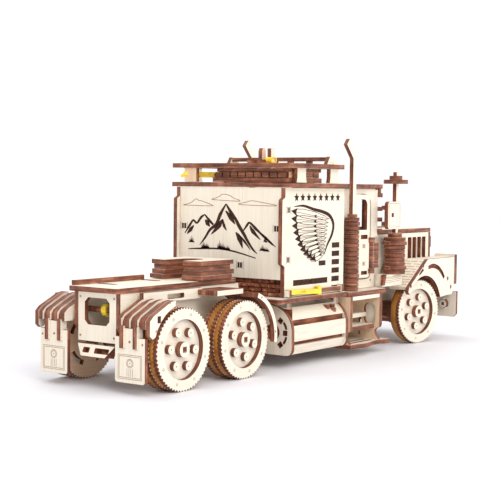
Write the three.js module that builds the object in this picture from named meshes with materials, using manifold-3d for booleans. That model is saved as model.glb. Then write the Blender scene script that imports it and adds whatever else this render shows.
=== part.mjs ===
// Laser-cut plywood model of a three-axle conventional sleeper tractor, driven by rubber bands.
// Millimetres, +X forward, +Y left, +Z up. Pieces are laid out from the rear axle and the ground,
// and the whole truck is then centred on the origin.
import * as THREE from 'three';
import { mergeVertices } from 'three/addons/utils/BufferGeometryUtils.js';
import Module from 'manifold-3d';

const wasm = await Module();
wasm.setup();

// ---------------------------------------------------------------- driving dimensions
const PLY = 3.5; // plywood sheet
const GAP = 0.3; // clearance between pieces that touch
const WELD = 0.05; // how far glued plies of one piece sink into each other

const WHEEL_R = 28; // over the teeth
const TOOTH_COUNT = 44;
const TOOTH_DEPTH = 1.2;
const RIM_HOLE_R = 20; // hole in the outer ply of a wheel
const BAND_R = 26.4; // rubber bands between the plies
const LUG_R = 3.15;
const LUG_CIRCLE_R = 12.8;
const HUB_R = 5.25;
const AXLE_R = 3;
const AXLE_FIT = 1; // radial room of an axle in the frame
const DUAL_PLIES = 5;
const FRONT_PLIES = 3;
const TYRE_ROOM = 3; // between a wheel and its fender

const AXLE_SPACING = 68; // rear axle to middle axle
const OVERHANG_ROOM = 5.5; // deck behind the rear wheels
const SLEEPER_LENGTH = 82.5;
const CAB_LENGTH = 62.2;
const HOOD_LENGTH = 114.7;
const CAB_TO_FRONT_AXLE = 66.3;
const FRONT_OVERHANG = 58;

const RAIL_HALF = 21; // outer faces of the frame rails
const WHEEL_HALF = 52.3; // outer faces of the driven wheels
const FRONT_WHEEL_HALF = 53.5;
const PLATFORM_HALF = 57;
const SLEEPER_HALF = 52;
const CAB_HALF = 44;
const HOOD_HALF = 36.5;
const ROOF_HALF = 58;

const DECK_ROOM = 12.5; // deck top above the wheels
const PLATFORM_RISE = 26; // platform top above the axles
const SLEEPER_HEIGHT = 82; // walls above the platform
const HOOD_RISE = 72.5; // hood top above the axles
const RACK_RISE = 14.7; // rack top above the roof top
const EXHAUST_RISE = 121.4; // exhaust tip above the platform

const STEER_REST = -10.3; // degrees, wheels turned to the right
const KINGPIN_ROOM = 6; // wheel inside face to its kingpin
const STEER_ARM = 18;
const ARCH_R = WHEEL_R + 3.8;

const GEAR_MODULE = 2;
const AXLE_GEAR_TEETH = 20;
const DRUM_GEAR_TEETH = 16;
const DRUM_RISE = 16; // drum axis above the axles
const SPOOL_R = 7;
const PEG_R = 2;
const BAND_THICKNESS = 2;

// ---------------------------------------------------------------- places that follow
const AXLE_Z = WHEEL_R;
const KINGPIN_Y = FRONT_WHEEL_HALF - FRONT_PLIES * PLY - KINGPIN_ROOM;
const REAR_X = 0;
const MID_X = REAR_X + AXLE_SPACING;
const RAIL_INNER = RAIL_HALF - PLY;
const RAIL_Z0 = AXLE_Z + 8;
const DECK_Z1 = AXLE_Z + WHEEL_R + DECK_ROOM;
const DECK_Z0 = DECK_Z1 - PLY;
const DECK_X0 = REAR_X - WHEEL_R - OVERHANG_ROOM;
const DECK_X1 = MID_X + 30;
const PANEL_X0 = DECK_X0 + 5.5;

const PLATFORM_Z1 = AXLE_Z + PLATFORM_RISE;
const PLATFORM_Z0 = PLATFORM_Z1 - PLY;
const PLATFORM_X0 = MID_X + WHEEL_R + 8;
const SLEEPER_X0 = PLATFORM_X0 + 12.7;
const SLEEPER_X1 = SLEEPER_X0 + SLEEPER_LENGTH;
const PLATFORM_X1 = SLEEPER_X1;
const CAB_X0 = SLEEPER_X1 + GAP;
const CAB_X1 = CAB_X0 + CAB_LENGTH;
const CAB_BOARD_X0 = PLATFORM_X1 + PLY;
const CAB_BOARD_Z1 = PLATFORM_Z1 - 1;
const CAB_BOARD_Z0 = CAB_BOARD_Z1 - PLY;
const ROOF_Z0 = PLATFORM_Z1 + SLEEPER_HEIGHT;
const ROOF_Z1 = ROOF_Z0 + PLY;
const ROOF_X0 = SLEEPER_X0 - 0.7;
const RACK_Z1 = ROOF_Z1 + RACK_RISE;
const RACK_Z0 = RACK_Z1 - PLY;
const RACK_X1 = SLEEPER_X1 - 7;

const HOOD_X0 = CAB_X1 + GAP;
const HOOD_X1 = HOOD_X0 + HOOD_LENGTH;
const HOOD_Z1 = AXLE_Z + HOOD_RISE;
const HOOD_Z0 = HOOD_Z1 - PLY;
const GRILLE_X0 = HOOD_X1 - PLY;
const CAB_ROOF_X1 = CAB_X1 + 9;
const VISOR_Z0 = ROOF_Z0 - 5;
const LID_REACH = Math.hypot(HOOD_X1 - CAB_ROOF_X1 - 2 * GAP, VISOR_Z0 - HOOD_Z0); // swings clear of the visor
const LID_X0 = HOOD_X1 - LID_REACH;
const FRONT_X = CAB_X1 + CAB_TO_FRONT_AXLE;
const FENDER_X1 = FRONT_X + FRONT_OVERHANG;
const FENDER_PLATE_X1 = FENDER_X1 + PLY;
const BUMPER_X0 = FENDER_PLATE_X1 + GAP;
const BUMPER_X1 = BUMPER_X0 + PLY;
const FENDER_Y0 = HOOD_HALF + 2 * GAP;
const FENDER_Y1 = FRONT_WHEEL_HALF + 0.5;
const FENDER_Y2 = FENDER_Y1 + PLY;
const FENDER_TOP = AXLE_Z + ARCH_R + 14.2;
const HOOD_ARCH_R = ARCH_R + 4.2;

const EXHAUST_X = CAB_X0 + 15.5;
const MUFFLER_R = 5.6;
const EXHAUST_Y = CAB_HALF + MUFFLER_R + 2 * GAP;
const AIR_X = HOOD_X0 + 28;
const AIR_R = 9.3;
const AIR_WIDE_R = 10.4;
const AIR_Y = HOOD_HALF + AIR_WIDE_R + 3 * GAP;
const AIR_Z0 = PLATFORM_Z1 + 9.3;

const DRUM_Z = AXLE_Z + DRUM_RISE;
const GEAR_CENTRES = (GEAR_MODULE * (AXLE_GEAR_TEETH + DRUM_GEAR_TEETH)) / 2;
const DRUM_X = MID_X - Math.sqrt(GEAR_CENTRES ** 2 - DRUM_RISE ** 2);
const PEG_X = PANEL_X0 + 10;
const PEG_Z = AXLE_Z + 24;

// ---------------------------------------------------------------- finishes
const finish = (color, roughness) => new THREE.MeshStandardMaterial({ color, roughness, metalness: 0 });
const paleWood = finish(0xf3ddbd, 0.7);
const warmWood = finish(0xe3b98c, 0.72);
const burntWood = finish(0x8d4a38, 0.8);
const yellowRubber = finish(0xf2c423, 0.5);

// ---------------------------------------------------------------- shape helpers
function outline(points) {
  const shape = new THREE.Shape();
  points.forEach(([a, b], i) => (i === 0 ? shape.moveTo(a, b) : shape.lineTo(a, b)));
  shape.closePath();
  return shape;
}

function rectangle(a0, a1, b0, b1) {
  return outline([[a0, b0], [a1, b0], [a1, b1], [a0, b1]]);
}

/** Rectangle whose four corners are cut by one chamfer. */
function softRectangle(a0, a1, b0, b1, c) {
  return outline([
    [a0 + c, b0], [a1 - c, b0], [a1, b0 + c], [a1, b1 - c],
    [a1 - c, b1], [a0 + c, b1], [a0, b1 - c], [a0, b0 + c],
  ]);
}

function arcPoints(a, b, radius, fromDegrees, toDegrees, steps) {
  return Array.from({ length: steps + 1 }, (_, i) => {
    const angle = THREE.MathUtils.degToRad(fromDegrees + ((toDegrees - fromDegrees) * i) / steps);
    return [a + radius * Math.cos(angle), b + radius * Math.sin(angle)];
  });
}

function circle(a, b, radius, sides) {
  return outline(arcPoints(a, b, radius, 0, 360 - 360 / sides, sides - 1));
}

/** Round outline with pointed teeth, one of them pointing straight down. */
function toothedCircle(radius, depth, teeth) {
  const points = [];
  for (let i = 0; i < teeth; i += 1) {
    const tip = -Math.PI / 2 + (2 * Math.PI * i) / teeth;
    const valley = tip + Math.PI / teeth;
    points.push([radius * Math.cos(tip), radius * Math.sin(tip)]);
    points.push([(radius - depth) * Math.cos(valley), (radius - depth) * Math.sin(valley)]);
  }
  return outline(points);
}

/** Spur gear outline with straight-sided teeth, the first one centred on the given angle. */
function gearOutline(a, b, teeth, firstTooth) {
  const pitchRadius = (GEAR_MODULE * teeth) / 2;
  const tipRadius = pitchRadius + 0.8 * GEAR_MODULE;
  const rootRadius = pitchRadius - 1.1 * GEAR_MODULE;
  const step = (2 * Math.PI) / teeth;
  const points = [];
  for (let i = 0; i < teeth; i += 1) {
    const middle = firstTooth + i * step;
    for (const [radius, share] of [[rootRadius, -0.28], [tipRadius, -0.1], [tipRadius, 0.1], [rootRadius, 0.28]]) {
      const angle = middle + share * step;
      points.push([a + radius * Math.cos(angle), b + radius * Math.sin(angle)]);
    }
  }
  return outline(points);
}

/** Outline swept between two positions along the normal of its plane. */
function sweep(plane, shape, from, to) {
  const geometry = new THREE.ExtrudeGeometry(shape, { depth: to - from, bevelEnabled: false, steps: 1 });
  if (plane === 'XZ') {
    geometry.translate(0, 0, -to);
    geometry.rotateX(Math.PI / 2);
  } else if (plane === 'YZ') {
    geometry.translate(0, 0, from);
    geometry.applyMatrix4(new THREE.Matrix4().set(0, 0, 1, 0, 1, 0, 0, 0, 0, 1, 0, 0, 0, 0, 0, 1));
  } else {
    geometry.translate(0, 0, from);
  }
  return geometry;
}

/** Flat sheet with through holes. */
function sheet(plane, shape, from, to, holes = []) {
  const blank = sweep(plane, shape, from, to);
  return piece([blank], holes.map((hole) => sweep(plane, hole, from - 1, to + 1)));
}

function block(x0, x1, y0, y1, z0, z1) {
  const geometry = new THREE.BoxGeometry(x1 - x0, y1 - y0, z1 - z0);
  return geometry.translate((x0 + x1) / 2, (y0 + y1) / 2, (z0 + z1) / 2);
}

/** Round rod along Y. */
function rodY(x, z, radius, y0, y1, sides = 12) {
  return sheet('XZ', circle(x, z, radius, sides), y0, y1);
}

/** Round rod along Z. */
function rodZ(x, y, radius, z0, z1, sides = 12) {
  return sheet('XY', circle(x, y, radius, sides), z0, z1);
}

/** Stack of round plies about Z, given as radius and top height from the bottom up. */
function discStack(x, y, z0, layers, sides) {
  const profile = [new THREE.Vector2(0, z0)];
  let floor = z0;
  for (const [radius, top] of layers) {
    profile.push(new THREE.Vector2(radius, floor), new THREE.Vector2(radius, top));
    floor = top;
  }
  profile.push(new THREE.Vector2(0, floor));
  const geometry = new THREE.LatheGeometry(profile, sides);
  return geometry.rotateX(Math.PI / 2).translate(x, y, 0);
}

function solidOf(geometry) {
  const bare = geometry.clone();
  bare.deleteAttribute('normal');
  bare.deleteAttribute('uv');
  const merged = mergeVertices(bare, 1e-4);
  const corners = merged.index.array;
  const kept = [];
  for (let i = 0; i < corners.length; i += 3) {
    const [a, b, c] = [corners[i], corners[i + 1], corners[i + 2]];
    if (a !== b && b !== c && c !== a) kept.push(a, b, c);
  }
  return new wasm.Manifold(new wasm.Mesh({
    numProp: 3,
    vertProperties: new Float32Array(merged.attributes.position.array),
    triVerts: new Uint32Array(kept),
  }));
}

function geometryOf(solid) {
  const { vertProperties, triVerts } = solid.getMesh();
  const geometry = new THREE.BufferGeometry();
  geometry.setAttribute('position', new THREE.BufferAttribute(new Float32Array(vertProperties), 3));
  geometry.setIndex(new THREE.BufferAttribute(new Uint32Array(triVerts), 1));
  geometry.computeVertexNormals();
  return geometry;
}

/** Joins geometries into one piece, then cuts the others out of it. */
function piece(joined, cut = []) {
  let solid = joined.map(solidOf).reduce((whole, next) => whole.add(next));
  for (const tool of cut) solid = solid.subtract(solidOf(tool));
  return geometryOf(solid);
}

/** The same piece on the other side of the truck. */
function mirrored(geometry) {
  const copy = piece([geometry]);
  const position = copy.attributes.position;
  for (let i = 0; i < position.count; i += 1) position.setY(i, -position.getY(i));
  const corners = copy.index.array;
  for (let i = 0; i < corners.length; i += 3) {
    [corners[i + 1], corners[i + 2]] = [corners[i + 2], corners[i + 1]];
  }
  copy.computeVertexNormals();
  return copy;
}

const truck = new THREE.Group();

function add(name, geometry, material = paleWood) {
  const mesh = new THREE.Mesh(geometry, material);
  mesh.name = name;
  truck.add(mesh);
  return mesh;
}

function addPair(name, geometry, material = paleWood) {
  add(`${name}_left`, geometry, material);
  add(`${name}_right`, mirrored(geometry), material);
}

// ---------------------------------------------------------------- frame
function frameRail() {
  const hanger = AXLE_Z - 7;
  const frontTop = PLATFORM_Z0 - GAP;
  const foot = (x) => [[x - 11, RAIL_Z0], [x - 7, hanger], [x + 7, hanger], [x + 11, RAIL_Z0]];
  const shape = outline([
    [PANEL_X0, RAIL_Z0 + 6], [PANEL_X0 + 4, RAIL_Z0], ...foot(REAR_X), ...foot(MID_X),
    [BUMPER_X0 - GAP, RAIL_Z0], [BUMPER_X0 - GAP, frontTop - 2], [PLATFORM_X0, frontTop - 2],
    [PLATFORM_X0 - 3, DECK_Z0 - GAP], [PANEL_X0, DECK_Z0 - GAP],
  ]);
  const bore = AXLE_R + AXLE_FIT;
  const windows = [PLATFORM_X0 + 10, PLATFORM_X0 + 50, PLATFORM_X0 + 110, PLATFORM_X0 + 160];
  const holes = [
    circle(REAR_X, AXLE_Z, bore, 10), circle(MID_X, AXLE_Z, bore, 10), circle(DRUM_X, DRUM_Z, bore, 10),
    ...windows.map((x) => rectangle(x, x + 24, RAIL_Z0 + 3.5, frontTop - 5.5)),
  ];
  return sheet('XZ', shape, RAIL_INNER, RAIL_HALF, holes);
}

/** Rear wall of the frame, with its window, and the slotted tray under it. */
function rearPanel() {
  const half = RAIL_INNER - GAP;
  const trayTop = RAIL_Z0 - 1;
  const wall = sheet('YZ', rectangle(-half, half, trayTop - PLY, DECK_Z0 - GAP), PANEL_X0, PANEL_X0 + PLY, [
    softRectangle(-11.3, 11.3, RAIL_Z0 + 6.6, DECK_Z0 - 4.1, 3),
  ]);
  const slots = [-9, 9].map((y) => softRectangle(PANEL_X0 + 6, PANEL_X0 + 15, y - 6, y + 6, 1.5));
  const tray = sheet('XY', rectangle(PANEL_X0, REAR_X - 8, -half, half), trayTop - PLY, trayTop, slots);
  return piece([wall, tray]);
}

function rearDeck() {
  const half = RAIL_HALF + 1;
  const slot = (x) => softRectangle(x - 3, x + 3, 2, half - 3, 2);
  return sheet('XY', softRectangle(DECK_X0, DECK_X1, -half, half, 1.5), DECK_Z0, DECK_Z1, [
    slot(REAR_X - 7), slot(REAR_X + 38),
  ]);
}

/** Horseshoe coupling plate: plies with slightly different outlines, open to the rear. */
function fifthWheel() {
  const front = DECK_X1 - 3;
  const back = front - 44;
  const plies = [0, 1.2, -0.8, 0].map((step, i) => {
    const half = 23 + step;
    const z = DECK_Z1 + GAP + i * PLY;
    const shape = outline([
      [back - step, 8.5 + step / 2], [back + 3, half], [front - 8, half], [front, half - 6],
      [front, -half + 6], [front - 8, -half], [back + 3, -half], [back - step, -8.5 - step / 2],
      ...arcPoints(back + 21, 0, 8.5, -90, 90, 6),
    ]);
    return sheet('XY', shape, z - (i > 0 ? WELD : 0), z + PLY);
  });
  return piece(plies);
}

/** Laminated fender behind a rear wheel, with the bracket and shelf that carry it. */
function rearFender() {
  const inner = WHEEL_R + TYRE_ROOM;
  const back = DECK_X0 - 0.9;
  const top = AXLE_Z + inner + 2.2;
  const foot = AXLE_Z + 16;
  const start = 180 - THREE.MathUtils.radToDeg(Math.asin(16 / inner));
  const profile = (drop) => outline([
    ...arcPoints(REAR_X, AXLE_Z, inner, start, 107, 5),
    [REAR_X - 9, top - drop], [REAR_X - 14, top - 0.7 - drop], [back + 3.4, AXLE_Z + 24.5 - drop],
    [back + drop, AXLE_Z + 21.5 - drop], [back + drop, foot],
  ]);
  const y0 = RAIL_HALF + 3;
  const y1 = WHEEL_HALF - PLY;
  const core = sheet('XZ', profile(1.6), y0, y1 + WELD);
  const ribCount = Math.ceil((y1 - y0) / (2 * PLY) - 0.5);
  const ribs = Array.from({ length: ribCount }, (_, i) => (
    sheet('XZ', profile(0), y0 + 2 * i * PLY, y0 + (2 * i + 1) * PLY)));
  const cheek = sheet('XZ', outline([
    ...arcPoints(REAR_X, AXLE_Z, inner, 160, 107, 5),
    [REAR_X - 9, top], [REAR_X - 14, top - 0.7], [back + 3.4, AXLE_Z + 24.5], [back, AXLE_Z + 21.5],
    [back, AXLE_Z + 12], [back + 2.5, AXLE_Z + 9.8],
  ]), y1, y1 + PLY);
  const bracket = sheet('XZ', rectangle(REAR_X - 12.5, REAR_X + 50, AXLE_Z + WHEEL_R + 1.5, DECK_Z0 - GAP), y0, y0 + PLY, [
    softRectangle(REAR_X + 12, REAR_X + 30, AXLE_Z + WHEEL_R + 3, AXLE_Z + WHEEL_R + 6.5, 0.8),
  ]);
  const shelfZ = AXLE_Z + WHEEL_R + 4;
  const shelf = block(REAR_X + 45, MID_X + 7, y0, y0 + 6 * PLY, shelfZ, shelfZ + PLY);
  return piece([core, ...ribs, cheek, bracket, shelf]);
}

/** Hanging flap: two hinge straps over a wide lower plate. */
function mudflap() {
  const back = DECK_X0 - 0.9;
  const top = AXLE_Z + 16 - GAP;
  const shoulder = AXLE_Z + 2.5;
  const shape = outline([
    [23.8, 7.9], [45.7, 7.9], [47.7, 9.9], [47.7, shoulder], [44, shoulder], [44, top],
    [25.5, top], [25.5, shoulder], [21.8, shoulder], [21.8, 9.9],
  ]);
  return sheet('YZ', shape, back, back + PLY, [rectangle(32, 37.5, AXLE_Z + 6, AXLE_Z + 12)]);
}

/** Quarter arc over the front of a middle wheel, deeper at its top. */
function midFender() {
  const inner = WHEEL_R + TYRE_ROOM;
  const outer = inner + PLY;
  const band = (from, to, steps) => outline([
    ...arcPoints(MID_X, AXLE_Z, inner, from, to, steps),
    ...arcPoints(MID_X, AXLE_Z, outer, to, from, steps),
  ]);
  const y1 = WHEEL_HALF + GAP;
  const plate = sheet('XZ', band(-8, 72, 9), y1, y1 + PLY);
  const top = sheet('XZ', band(40, 72, 4), RAIL_HALF + 3, y1 + WELD);
  return piece([plate, top]);
}

// ---------------------------------------------------------------- underbody
/** Slatted tank between two D-shaped end plates. */
function fuelTank() {
  const y0 = RAIL_HALF + 3;
  const y1 = PLATFORM_HALF;
  const bottom = AXLE_Z - 17.5;
  const top = PLATFORM_Z0 - GAP;
  const end = outline([
    [y0, bottom], [y1 - 4, bottom], [y1, bottom + 4], [y1, bottom + 17],
    ...arcPoints(y1 - 19, bottom + 17, 19, 20, 80, 3), [y0 + 8, top], [y0, top],
  ]);
  const x0 = SLEEPER_X0 + 3.5;
  const x1 = SLEEPER_X1 - PLY + 1;
  const eye = circle(y1 - 17, bottom + 17, 5, 12);
  const slit = rectangle(y1 - 8, y1 - 5, bottom + 10, bottom + 20);
  const slats = [
    [[y1 - 4, bottom + 10.5], [y1 - 0.5, bottom + 10.5], [y1 - 0.5, bottom + 22.5], [y1 - 4, bottom + 22.5]],
    [[y1 - 2.9, bottom + 26.5], [y1 - 11.5, bottom + 35], [y1 - 14, bottom + 32.4], [y1 - 5.6, bottom + 24.6]],
    [[y1 - 14, bottom + 0.5], [y1 - 5, bottom + 0.5], [y1 - 5, bottom + 4], [y1 - 14, bottom + 4]],
    [[y0, bottom + 4], [y0 + PLY, bottom + 4], [y0 + PLY, top - 3], [y0, top - 3]],
  ].map((points) => sheet('YZ', outline(points), x0 + PLY - WELD, x1 + WELD));
  return piece([
    sheet('YZ', end, x0, x0 + PLY, [eye, slit]), sheet('YZ', end, x1, x1 + PLY), ...slats,
    discStack(x1 - 12, y1 - 12, bottom + 28, [[3, bottom + 39]], 10),
  ]);
}

/** Boarding step: two side plates with round throats, two treads and a wide foot board. */
function stepBox() {
  const y0 = RAIL_HALF + 3;
  const y1 = PLATFORM_HALF;
  const top = CAB_BOARD_Z0 - GAP;
  const bottom = AXLE_Z - 20.7;
  const side = outline([
    [y0, bottom], [y1 + 1, bottom], [y1 - 2, bottom + 6],
    ...arcPoints(y1 - 1, bottom + 19, 11, -115, -245, 5),
    [y1 - 3, top - 6], [y1, top - 4], [y1, top], [y0, top],
  ]);
  const x0 = CAB_BOARD_X0 + 0.5;
  const x1 = x0 + 46.3;
  const board = outline([
    [x0 - 1, y0], [x1 + 8, y0], [x1 + 14, y1 - 8], [x1 + 12, y1 + 2], [x1, y1],
    [(x0 + x1) / 2, y1 + 2], [x0, y1 + 1],
  ]);
  return piece([
    sheet('YZ', side, x0, x0 + PLY), sheet('YZ', side, x1, x1 + PLY),
    sheet('XY', board, bottom, bottom + PLY),
    block(x0 + PLY - WELD, x1 + WELD, y0, y1 - 14, AXLE_Z + 2.5, AXLE_Z + 2.5 + PLY),
    block(x0 + PLY - WELD, x1 + WELD, y0, y1 - 11, AXLE_Z - 7, AXLE_Z - 7 + PLY),
    block(x0 + PLY - WELD, x1 + WELD, y0, y0 + PLY, AXLE_Z - 10, top),
  ]);
}

// ---------------------------------------------------------------- sleeper and roof
/** Side wall with its stepped rear edge, tenon slots and stencilled bars. */
function sleeperSide() {
  const z0 = PLATFORM_Z1 + GAP;
  const z1 = ROOF_Z0 - GAP;
  const shape = outline([
    [SLEEPER_X0, z0], [SLEEPER_X1, z0], [SLEEPER_X1, z1], [SLEEPER_X0, z1],
    [SLEEPER_X0, z1 - 7], [SLEEPER_X0 - 3.7, z1 - 9], [SLEEPER_X0 - 3.7, z0 + 25], [SLEEPER_X0, z0 + 23],
  ]);
  const bars = [0, 1, 2, 3, 4].map((i) => {
    const z = z0 + 9 + i * 6.6;
    return rectangle(SLEEPER_X1 - 17, SLEEPER_X1 - 7, z, z + 3.3);
  });
  const tenons = [z0 + 28, z0 + 65].map((z) => rectangle(SLEEPER_X0 + 3, SLEEPER_X0 + 6, z - 2.2, z + 2.2));
  const sill = rectangle(SLEEPER_X0 + 12, SLEEPER_X1 - 24, z0 + 8.5, z0 + 12);
  return sheet('XZ', shape, SLEEPER_HALF - PLY, SLEEPER_HALF, [...bars, ...tenons, sill]);
}

function sleeperRearPanel() {
  const half = SLEEPER_HALF - PLY - GAP;
  const z0 = PLATFORM_Z1 + 13.3;
  const tenon = (y, z) => rectangle(y - 3.4, y + 3.4, z - 2.4, z + 2.4);
  return sheet('YZ', rectangle(-half, half, z0, ROOF_Z0 - GAP), SLEEPER_X0, SLEEPER_X0 + PLY, [
    tenon(half - 3.9, z0 + 38), tenon(3.9 - half, z0 + 38), tenon(-10.7, z0 + 9.5), tenon(10.7, z0 + 9.5),
  ]);
}

/** Stack of boards that fills the foot of the sleeper. */
function sleeperBase() {
  const half = SLEEPER_HALF - PLY - 1;
  const z0 = PLATFORM_Z1 + GAP;
  const x1 = SLEEPER_X1 - 2;
  return piece([
    block(SLEEPER_X0 + 1.5, x1, -half, half, z0, z0 + PLY),
    block(SLEEPER_X0 + 5, x1, -half + 4, half - 4, z0 + PLY - WELD, z0 + 9.2),
    block(SLEEPER_X0 + 1.5, x1, -half, half, z0 + 9.2 - WELD, z0 + 12.7),
  ]);
}

/** Upper board on posts, with the boxed latch of the band motor under it. */
function roofRack() {
  const half = PLATFORM_HALF;
  const x0 = ROOF_X0;
  const well = (a, b) => softRectangle(x0 + 10, x0 + 36, a, b, 3);
  const far = (a, b) => softRectangle(x0 + 42, x0 + 64, a, b, 3);
  const leverX = SLEEPER_X0 + 33.3;
  const slot = rectangle(leverX - 8, leverX + 8, -9.8, -3.2);
  const board = sheet('XY', softRectangle(x0, RACK_X1, -half, half, 2), RACK_Z0, RACK_Z1, [
    well(14, 46), well(-46, -14), far(14, 46), far(-46, -14), slot,
  ]);
  const z0 = ROOF_Z1 + GAP;
  const top = RACK_Z0 + WELD;
  const side = (x) => [1, -1].map((s) => {
    const y = s > 0 ? SLEEPER_HALF - PLY : -SLEEPER_HALF;
    return block(x, x + 14, y, y + PLY, z0, top);
  });
  const rear = [33, -45].map((y) => block(x0 + 1.5, x0 + 1.5 + PLY, y, y + 12, z0, top));
  const bars = [-44, -30, -18, 4, 16].map((y) => block(x0 + 12, x0 + 12 + 42, y, y + PLY, z0, top));
  const shelfHoles = [rectangle(leverX - 8, leverX + 8, -9.8, -3.2)];
  const shelf = sheet('XY', rectangle(x0 + 10, x0 + 56, -47, 22), z0, z0 + PLY, shelfHoles);
  const post = block(leverX - 2.5, leverX + 2.5, -16.9, -13.4, RACK_Z0, RACK_Z1 + 12);
  return piece([board, ...side(x0 + 15), ...side(RACK_X1 - 15), ...rear, ...bars, shelf, post]);
}

/** Latch lever that frees the bands, turning on a pin across the truck. */
function releaseLever() {
  const x = SLEEPER_X0 + 33.3;
  const y = -6.5;
  const z = ROOF_Z1 + 6;
  const arm = sheet('XZ', outline([
    [x - 2.5, z - 3], [x + 2.5, z - 3], [x + 2.5, RACK_Z1 + 10], [x + 1.5, RACK_Z1 + 12.3],
    [x - 1.5, RACK_Z1 + 12.3], [x - 2.5, RACK_Z1 + 10],
  ]), y - PLY / 2, y + PLY / 2);
  return piece([arm, rodY(x, z, 1.4, y - 3, y + 3, 8)]);
}

function roofSpoiler() {
  const z0 = RACK_Z1 + GAP;
  const x0 = RACK_X1 - 15;
  const cheek = outline([[x0, z0], [x0 + 14, z0], [x0 + 11, z0 + 6], [x0 + 4, z0 + 6]]);
  return piece([
    sheet('XZ', cheek, 46, 46 + PLY), sheet('XZ', cheek, -46 - PLY, -46),
    block(x0 + 3.6, x0 + 11.4, -46 - WELD, 46 + WELD, z0 + 2.5, z0 + 5.6),
  ]);
}

// ---------------------------------------------------------------- cab
const HINGE_X = CAB_X0 + 51;
const HINGE_Y = CAB_HALF + PLY;
const HINGE_Z0 = CAB_BOARD_Z1 + 17;
const HINGE_Z1 = HINGE_Z0 + 21;
const HINGE_R = 3.4;
const HINGE_PIN_R = 1.3;

/** Side wall with its doorway and the fixed barrel of the door hinge. */
function cabSide() {
  const z0 = CAB_BOARD_Z1 + GAP;
  const z1 = ROOF_Z0 - GAP;
  const doorway = softRectangle(HINGE_X - 23.5, HINGE_X - 4.5, z0 + 13, z1 - 7, 2);
  const wall = sheet('XZ', rectangle(CAB_X0, CAB_X1, z0, z1), CAB_HALF - PLY, CAB_HALF, [doorway]);
  return piece([
    wall, rodZ(HINGE_X, HINGE_Y, HINGE_R, HINGE_Z0, HINGE_Z1),
    block(HINGE_X - 2.5, HINGE_X + 2.5, CAB_HALF - WELD, HINGE_Y, HINGE_Z0, HINGE_Z1),
  ], [rodZ(HINGE_X, HINGE_Y, HINGE_PIN_R + 0.6, HINGE_Z0 - 1, HINGE_Z1 + 1, 8)]);
}

/** Door leaf with window, slots and the pin it turns on. */
function door() {
  const z0 = CAB_BOARD_Z1 + 9.5;
  const z1 = ROOF_Z0 - 5;
  const x0 = HINGE_X - 27.5;
  const x1 = HINGE_X - 4;
  const y0 = CAB_HALF + GAP;
  const leaf = sheet('XZ', softRectangle(x0, x1, z0, z1, 2), y0, y0 + PLY, [
    outline([[x0 + 4, z1 - 29], [x1 - 4, z1 - 29], [x1 - 4, z1 - 9], [x1 - 8, z1 - 4], [x0 + 4, z1 - 4]]),
    rectangle(x0 + 4, x1 - 10, z1 - 37, z1 - 34), rectangle(x0 + 4, x1 - 10, z0 + 4, z0 + 7),
    rectangle(x0 + 7, x0 + 10, z0 + 12, z0 + 16), rectangle(x0 + 7, x0 + 10, z0 + 25, z0 + 29),
  ]);
  const knuckles = [[HINGE_Z0 - 4.5, HINGE_Z0 - GAP], [HINGE_Z1 + GAP, HINGE_Z1 + 4.5]].flatMap(([a, b]) => [
    rodZ(HINGE_X, HINGE_Y, 3, a, b), block(x1 - 1, HINGE_X, y0 + 0.3, y0 + PLY - 0.3, a, b),
  ]);
  const pin = rodZ(HINGE_X, HINGE_Y, HINGE_PIN_R, HINGE_Z0 - 2, HINGE_Z1 + 2, 8);
  return piece([leaf, ...knuckles, pin]);
}

/** Front wall of the cab: firewall below, two panes above, and a ledge that meets the hood lid. */
function windshieldFrame() {
  const half = CAB_HALF - PLY - GAP;
  const neck = half - 4;
  const z1 = ROOF_Z0 - GAP;
  const pane = (s) => softRectangle(Math.min(3 * s, neck * s), Math.max(3 * s, neck * s), z1 - 32, z1 - 5, 3);
  const x1 = CAB_X1 - 0.5;
  return piece([
    sheet('YZ', rectangle(-half, half, CAB_BOARD_Z1 + GAP, z1), x1 - PLY, x1, [pane(1), pane(-1)]),
    block(x1 - WELD, CAB_X1 + GAP + WELD, -neck, neck, HOOD_Z0, HOOD_Z1),
    block(CAB_X1 + GAP, LID_X0 - GAP, -HOOD_HALF, HOOD_HALF, HOOD_Z0, HOOD_Z1),
  ]);
}

function cabRoof() {
  const x1 = CAB_ROOF_X1;
  const half = CAB_HALF + 3;
  return piece([
    sheet('XY', softRectangle(SLEEPER_X1 + 2.5, x1, -half, half, 2), ROOF_Z0, ROOF_Z1),
    block(x1 - PLY, x1, -half + 2.5, half - 2.5, VISOR_Z0, ROOF_Z0 + WELD),
  ]);
}

// ---------------------------------------------------------------- hood
function hoodSide() {
  const z0 = CAB_BOARD_Z1 + GAP;
  const z1 = HOOD_Z0 - GAP;
  const x1 = GRILLE_X0 - GAP;
  const angle = THREE.MathUtils.radToDeg(Math.asin((z0 - AXLE_Z) / HOOD_ARCH_R));
  const shape = outline([
    [HOOD_X0, z0], ...arcPoints(FRONT_X, AXLE_Z, HOOD_ARCH_R, 180 - angle, angle, 6), [x1, z0], [x1, z1], [HOOD_X0, z1],
  ]);
  const vents = [0, 1, 2, 3].map((i) => rectangle(x1 - 38 + i * 8.5, x1 - 33 + i * 8.5, z1 - 23, z1 - 4));
  return sheet('XZ', shape, HOOD_HALF - PLY, HOOD_HALF, vents);
}

function grille() {
  const slots = [-25, -15, -5, 5, 15, 25].map((y) => rectangle(y - 3, y + 3, AXLE_Z + 26, HOOD_Z0 - 6));
  return sheet('YZ', rectangle(-HOOD_HALF, HOOD_HALF, AXLE_Z + 23, HOOD_Z0 - GAP), GRILLE_X0, HOOD_X1, slots);
}

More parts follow.
